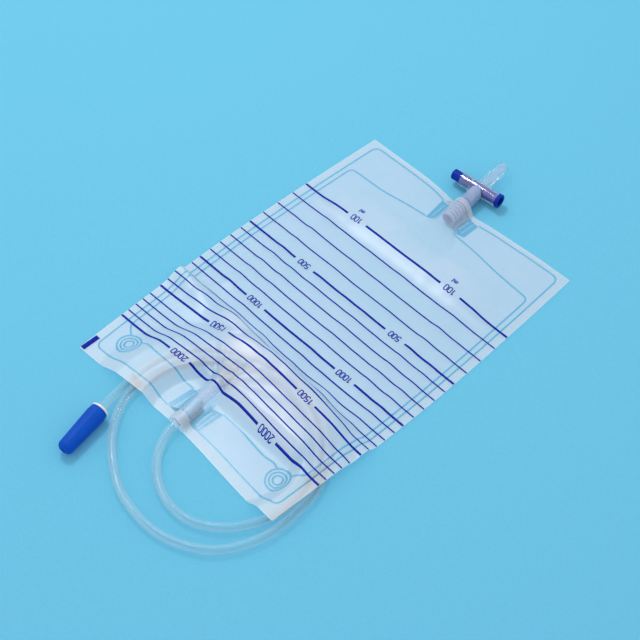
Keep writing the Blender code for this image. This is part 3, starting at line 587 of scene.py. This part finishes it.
def clear_wall(made, facing, edge):
    """A clear wall hides little where it is looked straight through, and more at its edges."""
    layer = add_node(made, "ShaderNodeLayerWeight", Blend=WALL_BLEND)
    amount = add_node(made, "ShaderNodeMapRange", **{"To Min": facing, "To Max": edge})
    turned = reckon(made, "POWER", layer.outputs["Facing"], WALL_POWER)
    link(made, turned, amount.inputs["Value"])
    link(made, amount.outputs["Result"], shader_of(made).inputs["Alpha"])


def let_light_through(made, share):
    """The shadow of clear plastic is faint: this share of the light passes."""
    path = add_node(made, "ShaderNodeLightPath")
    shade = reckon(made, "MULTIPLY_ADD", path.outputs["Is Shadow Ray"], -share, 1.0)
    link(made, shade, shader_of(made).inputs["Alpha"])


# Film: the scale and detail of each noise, and how much of it shows
TINT_NOISE = (9.0, 2.0)
TINT_GAIN, TINT_OFFSET = 1.6, -0.6
CLOUD_NOISE = (26.0, 3.0)
CLOUD_ALPHA = 0.06
GRAIN_NOISE = (1400.0, 2.0)
GRAIN_BUMP = (0.12, 0.00005)
CRUMPLE_NOISE = (55.0, 4.0)
CRUMPLE_BUMP = (0.25, 0.0006)
# The white of the painted gleam, a highlight painted on the mound
PAINTED_GLEAM_COLOR = (0.97, 0.97, 1.0)


def film_material(name, color, milky_sheen_color, alpha, roughness, haze_and_sheen_gain=0.0):
    """Film looks clear where it lies on something, milkier and paler where it stands off, and white in a
    painted gleam.

    The paler tone where it stands off is partly the film's own haze and partly painted sheen.
    The mesh says which by its attribute "lift": 0 where it lies, 1 where it stands off, 2 in the painted
    gleam.
    """
    made = principled(name, color, roughness, Specular_IOR_Level=0.6)
    lift = add_node(made, "ShaderNodeAttribute", attribute_name="lift").outputs["Fac"]
    tint = reckon(made, "MULTIPLY_ADD", noise_of(made, *TINT_NOISE), TINT_GAIN, TINT_OFFSET, clamp=True)
    toward = reckon(made, "ADD", tint, lift, clamp=True)
    # Lift above 1 turns the film white there: a painted highlight
    painted_gleam = reckon(made, "SUBTRACT", lift, 1.0, clamp=True)
    tone = mixed(made, painted_gleam, mixed(made, toward, color, milky_sheen_color), PAINTED_GLEAM_COLOR)
    link(made, tone, shader_of(made).inputs["Base Color"])
    clouds = noise_of(made, *CLOUD_NOISE)
    clouds = reckon(made, "MULTIPLY_ADD", clouds, CLOUD_ALPHA, alpha - CLOUD_ALPHA / 2)
    haze_and_sheen_alpha = reckon(made, "MULTIPLY_ADD", lift, haze_and_sheen_gain, clouds)
    link(made, haze_and_sheen_alpha, shader_of(made).inputs["Alpha"])
    fine = bump(made, noise_of(made, *GRAIN_NOISE), *GRAIN_BUMP)
    broad = bump(made, noise_of(made, *CRUMPLE_NOISE), *CRUMPLE_BUMP, fine)
    link(made, broad, shader_of(made).inputs["Normal"])
    return made


# The second colour of each pair is the paler tone where the film stands off: partly its own haze, partly
# painted sheen
FILM_COLORS = ((0.75, 0.84, 0.92), (0.80, 0.84, 0.95))
MARGIN_COLORS = ((0.78, 0.84, 0.90), (0.81, 0.83, 0.89))
ink = principled("ink", (0.0, 0.012, 0.35), 0.55, Alpha=0.97, Specular_IOR_Level=0.05)
vary_color(ink, (0.0, 0.010, 0.31), (0.0, 0.016, 0.40), 300.0)
FRONT_LOOKS = {
    "film": film_material("film_clear", *FILM_COLORS, 0.33, 0.28, 0.20),
    "margin": film_material("film_margin", *MARGIN_COLORS, 0.37, 0.32),
    "weld": film_material("weld_line", (0.13, 0.50, 0.72), (0.19, 0.53, 0.74), 0.34, 0.2),
    "patch": film_material("weld_patch", (0.20, 0.52, 0.73), (0.28, 0.56, 0.75), 0.32, 0.2),
    "ridge": film_material("weld_ridge", (0.62, 0.81, 0.90), (0.66, 0.82, 0.90), 0.36, 0.2),
    # The whiter, denser cut edge is a painted highlight where the edge catches the light
    "rim": film_material("film_cut_edge_painted_highlight", (0.80, 0.85, 0.90), (0.84, 0.86, 0.90), 0.50, 0.30),
    # Lighter arcs over the sleeve ribs: a painted highlight on the ribs
    "painted_rib_highlight": film_material("film_over_rib_painted_highlight", (0.80, 0.82, 0.94), (0.84, 0.84, 0.94), 0.42, 0.3),
    "ink": ink,
}
back_weld = film_material("back_weld_line", (0.10, 0.45, 0.68), (0.16, 0.48, 0.70), 0.28, 0.2)
BACK_LOOKS = {
    "film": film_material("back_film_clear", *FILM_COLORS, 0.31, 0.32),
    "margin": film_material("back_film_margin", *MARGIN_COLORS, 0.34, 0.32),
    "weld": back_weld,
    "patch": back_weld,
    "rim": FRONT_LOOKS["rim"],
}
# What the back film has where the front one has something of its own
BACK_KINDS = {"ink": "film", "painted_rib_highlight": "film", "ridge": "patch"}


# Flat drawing of the films: weld lines, eyelets, patches, print, all as closed outlines
def rounded(points, radius, steps=6):
    """The broken line with its corners rounded."""
    result = [Vector(points[0])]
    for before, here, after in zip(points, points[1:], points[2:]):
        before, here, after = Vector(before), Vector(here), Vector(after)
        back, forth = before - here, after - here
        reach = min(radius, back.length / 2, forth.length / 2)
        first, last = here + back.normalized() * reach, here + forth.normalized() * reach
        for step in range(steps + 1):
            t = step / steps
            result.append(first.lerp(here, t).lerp(here.lerp(last, t), t))
    result.append(Vector(points[-1]))
    return result


def sampled(points, spacing):
    """The line with points at most this far apart."""
    result = [points[0]]
    for a, b in zip(points, points[1:]):
        count = max(1, math.ceil((b - a).length / spacing))
        for k in range(1, count + 1):
            result.append(a.lerp(b, k / count))
    return result


def ribbon(points, width):
    """Outline of a line of this width."""
    left, right = [], []
    for k, here in enumerate(points):
        before, after = points[max(k - 1, 0)], points[min(k + 1, len(points) - 1)]
        along = (after - before).normalized()
        side = Vector((-along.y, along.x)) * width / 2
        left.append(here + side)
        right.append(here - side)
    return left + right[::-1]


def circle(middle, radius, count=40):
    angles = [math.tau * k / count for k in range(count)]
    return [Vector((middle[0] + radius * math.cos(a), middle[1] + radius * math.sin(a))) for a in angles]


def side_line(side, inset, y_from, y_to, count=24):
    """Points along one long edge, this far inside it."""
    ys = [y_from + (y_to - y_from) * k / count for k in range(count + 1)]
    return [(side * (half_width(y) - inset), y) for y in ys]


def seen(*points):
    """Places on the flat film of points in millimetres on the lying bag."""
    return [to_flat(x / 1000, y / 1000) for x, y in points]


# Every closed outline on the flat film, with its tag
outlines = []


def draw(tag, points):
    """Keep this closed outline, counterclockwise."""
    loop = [Vector((p[0], p[1])) for p in points]
    area = sum(a.x * b.y - b.x * a.y for a, b in zip(loop, loop[1:] + loop[:1]))
    outlines.append((tag, loop if area > 0 else loop[::-1]))


# Place of the outlet end along the flat film
end = BAG_LENGTH / 2


def bag_outline(inset, count=90):
    """The bag's outline, this far inside its cut edge."""
    far = end - inset
    reach = half_width(end) - inset
    across = [-reach + 2 * reach * k / count for k in range(1, count)]
    line = side_line(-1, inset, -far, far, count) + [(x, far) for x in across]
    return line + side_line(1, inset, far, -far, count) + [(-x, -far) for x in across]


# The strip along the cut edge, this wide, gets the painted highlight of the cut edge
RIM_WIDTH = 0.00035
draw("bag", bag_outline(0.0))
draw("inner", bag_outline(RIM_WIDTH))

WELD_LINE = 0.00135
LINE_STEP = 0.003
OUTER_INSET, INNER_INSET = 0.0072, 0.0120
OUTLET_OUTER, OUTLET_INNER = 0.1500, 0.1180
INLET_OUTER, INLET_INNER = -0.1455, -0.1150
OUTER_CORNER, INNER_CORNER, END_CORNER = 0.007, 0.006, 0.004
outer_left = [
    *seen((-19.0, 146.5)), (-0.030, OUTLET_OUTER),
    *side_line(-1, OUTER_INSET, OUTLET_OUTER, INLET_OUTER),
    (-0.034, INLET_OUTER), *seen((-20.5, -141.0)),
]
outer_right = [
    *seen((19.0, 146.0)), (0.034, OUTLET_OUTER),
    *side_line(1, OUTER_INSET, OUTLET_OUTER, INLET_OUTER),
    (0.034, INLET_OUTER), *seen((13.0, -140.5)),
]
inner_left = [
    *seen((-17.5, 124.0), (-34.0, 122.5)), (-0.060, 0.1185),
    *side_line(-1, INNER_INSET, OUTLET_INNER, INLET_INNER),
    (-0.0900, -0.1190), (-0.0866, -0.1212),
]
inner_right = [
    *seen((18.6, 129.5), (11.0, 127.2), (9.0, 126.4), (12.5, 125.6), (36.0, 124.0)), (0.061, 0.1205),
    *side_line(1, INNER_INSET, OUTLET_INNER, INLET_INNER),
    (0.0900, -0.1190), (0.0866, -0.1212),
]
end_left = [
    (-0.0737, -0.1228), (-0.0690, -0.1212),
    *seen((-60.0, -119.6), (-46.0, -119.2), (-32.0, -119.0), (-19.0, -118.5)),
]
end_right = [
    (0.0737, -0.1228), (0.0690, -0.1212),
    *seen((60.0, -121.0), (46.0, -119.6), (31.0, -117.7), (14.0, -117.9)),
]
for line, corner in (
    (outer_left, OUTER_CORNER), (outer_right, OUTER_CORNER), (inner_left, INNER_CORNER),
    (inner_right, INNER_CORNER), (end_left, END_CORNER), (end_right, END_CORNER),
):
    draw("weld", ribbon(sampled(rounded(line, corner), LINE_STEP), WELD_LINE))
inside_left = sampled(rounded(outer_left, OUTER_CORNER), LINE_STEP)
inside_right = sampled(rounded(outer_right, OUTER_CORNER), LINE_STEP)
draw("inside", inside_left + inside_right[::-1])

# Each eyelet has rings of these radii and widths
EYELETS = ((-0.0809, -0.1284), (0.0809, -0.1284))
EYELET_RINGS = ((0.0091, 0.0015), (0.0064, 0.0014), (0.0037, 0.0014))
for middle in EYELETS:
    for radius, width in EYELET_RINGS:
        draw("ring", circle(middle, radius + width / 2))
        draw("ring", circle(middle, radius - width / 2))

# Ridged weld patches on both sides of the two sleeves
PATCHES = (
    seen((9.6, 146.2), (19.4, 145.0), (19.2, 128.8), (14.0, 127.6), (10.0, 129.4)),
    seen((-19.5, 145.8), (-10.6, 144.5), (-9.6, 126.6), (-16.6, 123.2)),
    seen((-21.0, -140.7), (-18.8, -118.6), (-8.0, -118.8), (-6.4, -142.0)),
    seen((3.4, -120.8), (14.0, -118.2), (12.7, -140.7), (4.8, -142.0)),
)
for corners in PATCHES:
    closed = [Vector(c) for c in corners]
    draw("patch", sampled(closed + closed[:1], LINE_STEP)[:-1])

PATCH_RIDGES = (
    seen((-15.6, -140.0), (-13.8, -120.0)),
    seen((-11.2, -140.2), (-10.2, -120.0)),
    seen((10.2, -139.8), (11.0, -120.2)),
    seen((7.4, -139.0), (6.6, -130.0), (7.2, -122.0)),
    seen((11.2, 144.0), (11.0, 131.0)),
    seen((15.4, 143.6), (15.0, 131.0)),
    seen((-14.6, 143.0), (-13.6, 126.5)),
)
PATCH_RIDGE_WIDTH = 0.0010
PATCH_RIDGE_STEP = 0.002
for points in PATCH_RIDGES:
    line = sampled([Vector(p) for p in points], PATCH_RIDGE_STEP)
    draw("ridge", ribbon(line, PATCH_RIDGE_WIDTH))

# Ribs of the outlet sleeve, which show through the film as lighter arcs: a highlight painted on the ribs
RIB_WIDTH = 0.0009
RIB_BEYOND_SLEEVE = 0.0012
RIB_BOW = 0.0012
RIB_STEPS = 6
for k in range(SLEEVE_RIBS):
    along = -SLEEVE_LENGTH + (k + 0.5) * SLEEVE_RIB_PITCH
    arc = []
    for step in range(-RIB_STEPS, RIB_STEPS + 1):
        share = step / RIB_STEPS
        across = share * (SLEEVE_RADIUS + RIB_BEYOND_SLEEVE)
        place = neck_frame() @ Vector((across, along - RIB_BOW * share ** 2, 0.0))
        arc.append(Vector(to_flat(place.x, place.y)))
    draw("painted_rib_highlight", ribbon(arc, RIB_WIDTH))

# Print: the block at the corner, then the lines of the scale
PRINT_INSET = 0.0001
BAR_FROM_END = 0.0007
bar_low = -end + BAR_FROM_END
bar_high = bar_low + BAR_LENGTH
bar_left = -half_width(bar_low) + PRINT_INSET
bar_right = bar_left + BAR_WIDTH
draw("ink", [(bar_left, bar_low), (bar_right, bar_low), (bar_right, bar_high), (bar_left, bar_high)])
for k, y in enumerate(LINE_Y):
    volume = 100 * (k + 1)
    reach = half_width(y) - PRINT_INSET
    spans, width = [(-reach, reach)], THIN_LINE
    if volume in BOLD_LINES:
        width = BOLD_LINE
        left, right = NUMBER_X[volume]
        half = NUMBER_GAP / 2
        spans = [(-reach, left - half), (left + half, right - half), (right + half, reach)]
    for a, b in spans:
        line = sampled([Vector((a, y)), Vector((b, y))], LINE_STEP)
        draw("ink", ribbon(line, width))


# Each character's strokes, in a box one high, and the width of that box
STROKES = {
    "0": (
        [
            [(0.36, 0.93), (0.09, 0.88), (0.07, 0.50), (0.09, 0.12), (0.36, 0.07)],
            [(0.26, 0.93), (0.53, 0.88), (0.55, 0.50), (0.53, 0.12), (0.26, 0.07)],
        ],
        0.66,
    ),
    "1": ([[(0.14, 0.72), (0.36, 0.93), (0.36, 0.05)]], 0.60),
    "2": (
        [
            [
                (0.08, 0.72), (0.12, 0.90), (0.48, 0.95), (0.54, 0.62),
                (0.07, 0.10), (0.12, 0.07), (0.58, 0.07),
            ],
        ],
        0.66,
    ),
    "5": (
        [
            [
                (0.53, 0.93), (0.14, 0.93), (0.10, 0.52), (0.50, 0.60),
                (0.56, 0.14), (0.24, 0.02), (0.06, 0.16),
            ],
        ],
        0.66,
    ),
    "m": (
        [
            [(0.08, 0.05), (0.08, 0.66)],
            [(0.08, 0.46), (0.14, 0.66), (0.40, 0.66), (0.40, 0.05)],
            [(0.40, 0.46), (0.46, 0.66), (0.72, 0.66), (0.72, 0.05)],
        ],
        0.90,
    ),
    "l": ([[(0.12, 0.05), (0.12, 0.97)]], 0.30),
}
STROKE_WIDTH = 0.00092
STROKE_CORNER = 0.13
STROKE_STEP = 0.001
NUMBER_HEIGHT = 0.0056
NUMBER_SHIFT = -0.0004
UNIT_HEIGHT = 0.0042
UNIT_OFFSET = (-0.003, 0.0085)


def write(text, height, middle):
    """Print this text upside down, centred at this place on the flat film."""
    length = sum(STROKES[letter][1] for letter in text)
    along = -length / 2
    for letter in text:
        lines, advance = STROKES[letter]
        for line in lines:
            points = [Vector((along + x, y - 0.5)) * height for x, y in line]
            points = sampled(rounded(points, STROKE_CORNER * height), STROKE_STEP)
            points = [Vector((middle[0] - p.x, middle[1] - p.y)) for p in points]
            draw("ink", ribbon(points, STROKE_WIDTH))
        along += advance


for volume in BOLD_LINES:
    for x in NUMBER_X[volume]:
        write(str(volume), NUMBER_HEIGHT, (x + NUMBER_SHIFT, LINE_Y[volume // 100 - 1]))
for x in NUMBER_X[100]:
    write("ml", UNIT_HEIGHT, (x + UNIT_OFFSET[0], LINE_Y[0] + UNIT_OFFSET[1]))

# The film's points lie this far apart; every other row is shifted by this share of the step
MESH_STEP = 0.0016
ROW_SHIFT = 0.25
MERGE_BELOW = 1e-7
INSIDE_OUTLINES = 1


def flat_film():
    """The flat film cut along every outline: points, triangles and the kind of each triangle."""
    verts, faces, tags = [], [], []
    for tag, points in outlines:
        first = len(verts)
        verts += points
        faces.append(list(range(first, first + len(points))))
        tags.append(tag)
    rows = int(BAG_LENGTH / MESH_STEP)
    for r in range(1, rows):
        y = -end + BAG_LENGTH * r / rows
        half = half_width(y)
        columns = int(2 * half / MESH_STEP)
        shift = ROW_SHIFT if r % 2 else -ROW_SHIFT
        for c in range(1, columns):
            verts.append(Vector((-half + 2 * half * (c + shift) / columns, y)))
    cut = delaunay_2d_cdt(verts, [], faces, INSIDE_OUTLINES, MERGE_BELOW, True)
    points, _, triangles, _, _, origins = cut
    kept, kinds = [], []
    for triangle, origin in zip(triangles, origins):
        found = [tags[k] for k in origin]
        if "bag" not in found:
            continue
        if "ink" in found:
            kind = "ink"
        elif "weld" in found or found.count("ring") % 2:
            kind = "weld"
        elif "painted_rib_highlight" in found:
            kind = "painted_rib_highlight"
        elif "patch" in found:
            kind = "ridge" if "ridge" in found else "patch"
        elif "inner" not in found:
            kind = "rim"
        elif "inside" not in found:
            kind = "margin"
        else:
            kind = "film"
        kept.append(triangle)
        kinds.append(kind)
    return points, kept, kinds


# The film's shading is softer than its form, most of all on the sleeves
NORMAL_STEP = 0.0006
FILM_SHADING = 0.7
SLEEVE_SHADING_LOSS = 0.55
SLEEVE_TENT = 0.006
# The film is milkier where it stands off, partly its own haze and partly painted sheen; a band of painted
# sheen runs along the soft roll by the first line
HAZE_FROM = 0.0015
HAZE_RISE = 0.008
ROLL_PAINTED_SHEEN = 0.45
ROLL_Y = 0.072
ROLL_LENGTH = 0.0045
ROLL_HALF_WIDTH = 0.098
ROLL_FADE = 0.02
SLEEVE_CLEARS = 0.45
# A highlight painted on the mound: its strength, place and reach
PAINTED_GLEAM = 1.9
PAINTED_GLEAM_PLACE = (-0.014, -0.071)
PAINTED_GLEAM_REACH = (0.020, 0.0105)
LIFT_MOST = 2.0


def on_sleeve(x, y):
    """1 where the film lies on one of the two sleeves, 0 away from them."""
    return smooth(max(neck_tent(x, y), inlet_tent(x, y)) / SLEEVE_TENT)


def film_lift(x, y, z):
    """0 where the front film lies on the back one, 1 where it stands off, up to 2 in the painted gleam on
    the mound.

    The band of painted sheen along the roll adds to it. It is less than 0 on the sleeves, where the film is
    clearest.
    """
    painted_roll_sheen = ROLL_PAINTED_SHEEN * bell(y - ROLL_Y, ROLL_LENGTH) * smooth((ROLL_HALF_WIDTH - abs(x)) / ROLL_FADE)
    lifted = smooth((z - back_height(x, y) - HAZE_FROM) / HAZE_RISE)
    lifted -= (lifted + SLEEVE_CLEARS) * on_sleeve(x, y)
    painted_gleam = PAINTED_GLEAM * spot(x, y, PAINTED_GLEAM_PLACE, PAINTED_GLEAM_REACH)
    return min(lifted * (1.0 - painted_roll_sheen) + painted_roll_sheen + painted_gleam, LIFT_MOST)


def no_lift(x, y, z):
    """The back film is equally clear everywhere."""
    return 0.0


def film_piece(name, points, triangles, kinds, surface, looks, lift_of):
    """The flat film raised to a surface, with a look for each kind of triangle."""
    order = list(looks)
    mesh = bpy.data.meshes.new(name)
    places, lifts, normals = [], [], []
    for p in points:
        y = p.y + drawn_in(p.x, p.y)
        z = surface(p.x, y)
        slope_x = (surface(p.x + NORMAL_STEP, y) - z) / NORMAL_STEP
        slope_y = (surface(p.x, y + NORMAL_STEP) - z) / NORMAL_STEP
        shading = FILM_SHADING * (1.0 - SLEEVE_SHADING_LOSS * on_sleeve(p.x, y))
        normals.append(Vector((-slope_x * shading, -slope_y * shading, 1.0)).normalized())
        places.append((p.x, y - MIDDLE, z))
        lifts.append(lift_of(p.x, y, z))
    mesh.from_pydata(places, [], triangles)
    for look in looks.values():
        mesh.materials.append(look)
    for polygon, kind in zip(mesh.polygons, kinds):
        polygon.material_index = order.index(kind)
        polygon.use_smooth = True
    # The lift attribute carries the painted sheen and the painted gleam as well as how far the film stands
    # off
    attribute = mesh.attributes.new("lift", "FLOAT", "POINT")
    attribute.data.foreach_set("value", lifts)
    mesh.normals_split_custom_set_from_vertices(normals)
    obj = new_object(name, mesh)
    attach(obj, "bag")
    obj.visible_shadow = False
    return obj


points, triangles, kinds = flat_film()
back_kinds = [BACK_KINDS.get(kind, kind) for kind in kinds]
front = film_piece("front_film_skin", points, triangles, kinds, front_surface, FRONT_LOOKS, film_lift)
back = film_piece("back_film_skin", points, triangles, back_kinds, back_height, BACK_LOOKS, no_lift)
printed = [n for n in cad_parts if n.startswith("scale_line_") or n == "register_bar"]
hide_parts("front_film", *printed)
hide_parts("back_film")


# Drainage tube
BORE_RADIUS = 0.0024
TUBE_SEGMENTS = 28
TUBE_RINGS = 400
SHARP_ANGLE = math.radians(50)
# The tube counts as covered from this far inside the films' edge
COVERED_FROM = 0.011


def smooth_route(points, count):
    """A smooth curve through the points, cut into equal steps, and its length."""
    lengths = [(b - a).length for a, b in zip(points, points[1:])]
    slopes = []
    for k, point in enumerate(points):
        if k == 0:
            slopes.append((points[1] - point) / lengths[0])
        elif k == len(points) - 1:
            slopes.append((point - points[-2]) / lengths[-1])
        else:
            before = (point - points[k - 1]) / lengths[k - 1]
            after = (points[k + 1] - point) / lengths[k]
            total = lengths[k - 1] + lengths[k]
            slopes.append((before * lengths[k] + after * lengths[k - 1]) / total)
    fine = []
    for k, length in enumerate(lengths):
        for step in range(CURVE_STEPS):
            t = step / CURVE_STEPS
            start = points[k] * (1 + 2 * t) + slopes[k] * length * t
            finish = points[k + 1] * (3 - 2 * t) - slopes[k + 1] * length * (1 - t)
            fine.append(start * (1 - t) ** 2 + finish * t ** 2)
    fine.append(points[-1])
    run = [0.0]
    for a, b in zip(fine, fine[1:]):
        run.append(run[-1] + (b - a).length)
    result, k = [], 0
    for step in range(count):
        target = run[-1] * step / (count - 1)
        while k < len(run) - 2 and run[k + 1] < target:
            k += 1
        result.append(fine[k].lerp(fine[k + 1], (target - run[k]) / (run[k + 1] - run[k])))
    return result, run[-1]


def tube_points():
    """The route's points, raised where the tube meets its sleeve and its connector."""
    to_sleeve = inlet_place().z - TUBE_RADIUS
    to_connector = connector_frame().translation.z - TUBE_RADIUS
    level = len(TUBE_ROUTE) - len(SLEEVE_RAISE) - len(CONNECTOR_RAISE)
    raises = [to_sleeve * share for share in SLEEVE_RAISE] + [0.0] * level
    raises += [to_connector * share for share in CONNECTOR_RAISE]
    result = []
    for (x, y), up in zip(TUBE_ROUTE, raises):
        result.append(Vector((x, inlet_edge_y() + y - MIDDLE, TUBE_RADIUS + up)))
    return result


def hollow_tube(name, path, outer, inner, segments):
    """A tube round a path, with its bore and both ends."""
    bm = bmesh.new()
    rings = []
    up = Vector((0.0, 0.0, 1.0))
    for k, here in enumerate(path):
        along = (path[min(k + 1, len(path) - 1)] - path[max(k - 1, 0)]).normalized()
        side = along.cross(up).normalized()
        lift = side.cross(along)
        pair = []
        for radius in (outer, inner):
            ring = []
            for s in range(segments):
                angle = math.tau * s / segments
                ring.append(bm.verts.new(here + radius * (math.cos(angle) * side + math.sin(angle) * lift)))
            pair.append(ring)
        rings.append(pair)
    for first, second in zip(rings, rings[1:]):
        for layer in (0, 1):
            for s in range(segments):
                n = (s + 1) % segments
                bm.faces.new((first[layer][s], first[layer][n], second[layer][n], second[layer][s]))
    for pair in (rings[0], rings[-1]):
        for s in range(segments):
            n = (s + 1) % segments
            bm.faces.new((pair[0][s], pair[0][n], pair[1][n], pair[1][s]))
    bmesh.ops.recalc_face_normals(bm, faces=bm.faces)
    mesh = bpy.data.meshes.new(name)
    bm.to_mesh(mesh)
    bm.free()
    mesh.shade_smooth()
    mesh.set_sharp_from_angle(angle=SHARP_ANGLE)
    return new_object(name, mesh)


tube_look = principled(
    "tube_pvc", (0.62, 0.79, 0.93), 0.10, Specular_IOR_Level=1.0,
    Coat_Weight=1.0, Coat_Roughness=0.05, Coat_IOR=1.8,
)
vary_color(tube_look, (0.59, 0.77, 0.92), (0.66, 0.82, 0.95), 90.0)
clear_wall(tube_look, 0.035, 0.60)
# Under the films a clear tube only tones the table that shows through it
covered_tube = principled("tube_under_film", (0.16, 0.46, 0.67), 0.30)
vary_color(covered_tube, (0.15, 0.44, 0.65), (0.17, 0.48, 0.69), 90.0)
path, tube_length = smooth_route(tube_points(), TUBE_RINGS)
for place in path:
    place.z = max(place.z, TUBE_RADIUS)
tube = hollow_tube("drainage_tube_skin", path, TUBE_RADIUS, BORE_RADIUS, TUBE_SEGMENTS)
tube.data.materials.append(tube_look)
tube.data.materials.append(covered_tube)
for polygon in tube.data.polygons:
    x, y = polygon.center.x, polygon.center.y + MIDDLE
    covered = y > inlet_edge_y() + COVERED_FROM and abs(x) < half_width(y) - COVERED_FROM
    polygon.material_index = 1 if covered else 0
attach(tube, "bag")
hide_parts("drainage_tube")

# Moulded pieces
clear_plastic = principled(
    "clear_moulding", (0.88, 0.90, 0.96), 0.06, Transmission_Weight=0.96, IOR=1.12,
    Coat_Weight=1.0, Coat_Roughness=0.06, Coat_IOR=1.6,
)
bumpy(clear_plastic, 60.0, 0.02, 0.0001)
let_light_through(clear_plastic, 0.6)
along_neck(clear_plastic, "Transmission Weight", (-0.0075, 0.78), (-0.0055, 0.965))
along_neck(clear_plastic, "Roughness", (0.006, 0.05), (0.009, 0.18))
sleeve_look = principled("sleeve_pvc", (0.36, 0.49, 0.76), 0.30, Transmission_Weight=0.30, IOR=1.35)
vary_color(sleeve_look, (0.32, 0.46, 0.74), (0.42, 0.54, 0.80), 160.0)
bumpy(sleeve_look, 260.0, 0.15, 0.0003)
let_light_through(sleeve_look, 0.4)
inlet_look = principled(
    "inlet_pvc", (0.78, 0.87, 0.96), 0.05, Transmission_Weight=0.85, IOR=1.04, Coat_Weight=0.3,
)
vary_color(inlet_look, (0.74, 0.85, 0.95), (0.82, 0.89, 0.97), 160.0)
let_light_through(inlet_look, 1.0)
bumpy(inlet_look, 260.0, 0.04, 0.0001)
valve_look = principled("valve_pvc", (0.80, 0.84, 0.90), 0.35, Alpha=0.30)
vary_color(valve_look, (0.76, 0.81, 0.88), (0.84, 0.87, 0.92), 120.0)
blue = principled("plunger_plastic", (0.0, 0.026, 0.34), 0.42, Specular_IOR_Level=0.12)
vary_color(blue, (0.0, 0.022, 0.31), (0.0, 0.030, 0.37), 160.0)
bumpy(blue, 500.0, 0.08, 0.0002)
cap_blue = principled("cap_plastic", (0.0, 0.080, 0.54), 0.45, Specular_IOR_Level=0.12)
vary_color(cap_blue, (0.0, 0.073, 0.51), (0.0, 0.087, 0.57), 120.0)
bumpy(cap_blue, 420.0, 0.10, 0.0002)
white = principled("connector_plastic", (0.86, 0.87, 0.88), 0.30)
vary_color(white, (0.84, 0.85, 0.86), (0.88, 0.89, 0.90), 200.0)
for node, look in (
    ("tap_body", clear_plastic), ("outlet_sleeve", sleeve_look), ("inlet_sleeve", inlet_look),
    ("non_return_valve", valve_look), ("tap_plunger", blue), ("connector_cap", cap_blue),
    ("catheter_connector", white),
):
    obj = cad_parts[node]
    obj.data.materials.clear()
    obj.data.materials.append(look)

# Table, light and camera
TABLE_HALF = 4.0
TABLE_Z = -0.0004
floor_mesh = bpy.data.meshes.new("table_top")
corners = [(x * TABLE_HALF, y * TABLE_HALF, TABLE_Z) for x, y in ((-1, -1), (1, -1), (1, 1), (-1, 1))]
floor_mesh.from_pydata(corners, [], [(0, 1, 2, 3)])
floor = new_object("table_top", floor_mesh)
floor_look = principled("table_paper", (0.150, 0.560, 0.800), 0.9, Specular_IOR_Level=0.2)
vary_color(floor_look, (0.140, 0.548, 0.790), (0.160, 0.572, 0.810), 900.0)
floor_mesh.materials.append(floor_look)

# The sky lights the scene at this level, and shows at full strength in reflections and through
# clear pieces
SKY_LEVEL = 0.76
world = bpy.data.worlds.new("studio")
bpy.context.scene.world = world
world.use_nodes = True
studio = world.node_tree.nodes["Background"]
studio.inputs["Color"].default_value = (1.0, 1.0, 1.0, 1.0)
ray = add_node(world, "ShaderNodeLightPath").outputs
bounced = reckon(world, "MAXIMUM", ray["Is Glossy Ray"], ray["Is Transmission Ray"])
full = reckon(world, "MAXIMUM", bounced, ray["Is Camera Ray"])
link(world, reckon(world, "MULTIPLY_ADD", full, 1.0 - SKY_LEVEL, SKY_LEVEL), studio.inputs["Strength"])

KEY_DIRECTION = Vector((-0.443, 0.13, 0.887)).normalized()
KEY_DISTANCE = 1.6
key_data = bpy.data.lights.new("key_softbox", "AREA")
key_data.shape = "DISK"
key_data.size = 0.34
key_data.energy = 7.2
key = new_object("key_softbox", key_data)
key.location = KEY_DIRECTION * KEY_DISTANCE
key.rotation_mode = "QUATERNION"
key.rotation_quaternion = KEY_DIRECTION.to_track_quat("Z", "Y")

CAMERA_PLACE = Vector((0.4875, -0.5022, 0.8686))
CAMERA_TARGET = Vector((-0.0003, -0.0329, 0.0))
camera_data = bpy.data.cameras.new("camera")
camera_data.lens = 82.68
camera_data.sensor_width = 36.0
camera = new_object("camera", camera_data)
camera.location = CAMERA_PLACE
camera.rotation_mode = "QUATERNION"
camera.rotation_quaternion = (CAMERA_TARGET - CAMERA_PLACE).to_track_quat("-Z", "Y")
bpy.context.scene.camera = camera
bpy.context.scene.view_settings.view_transform = "Standard"
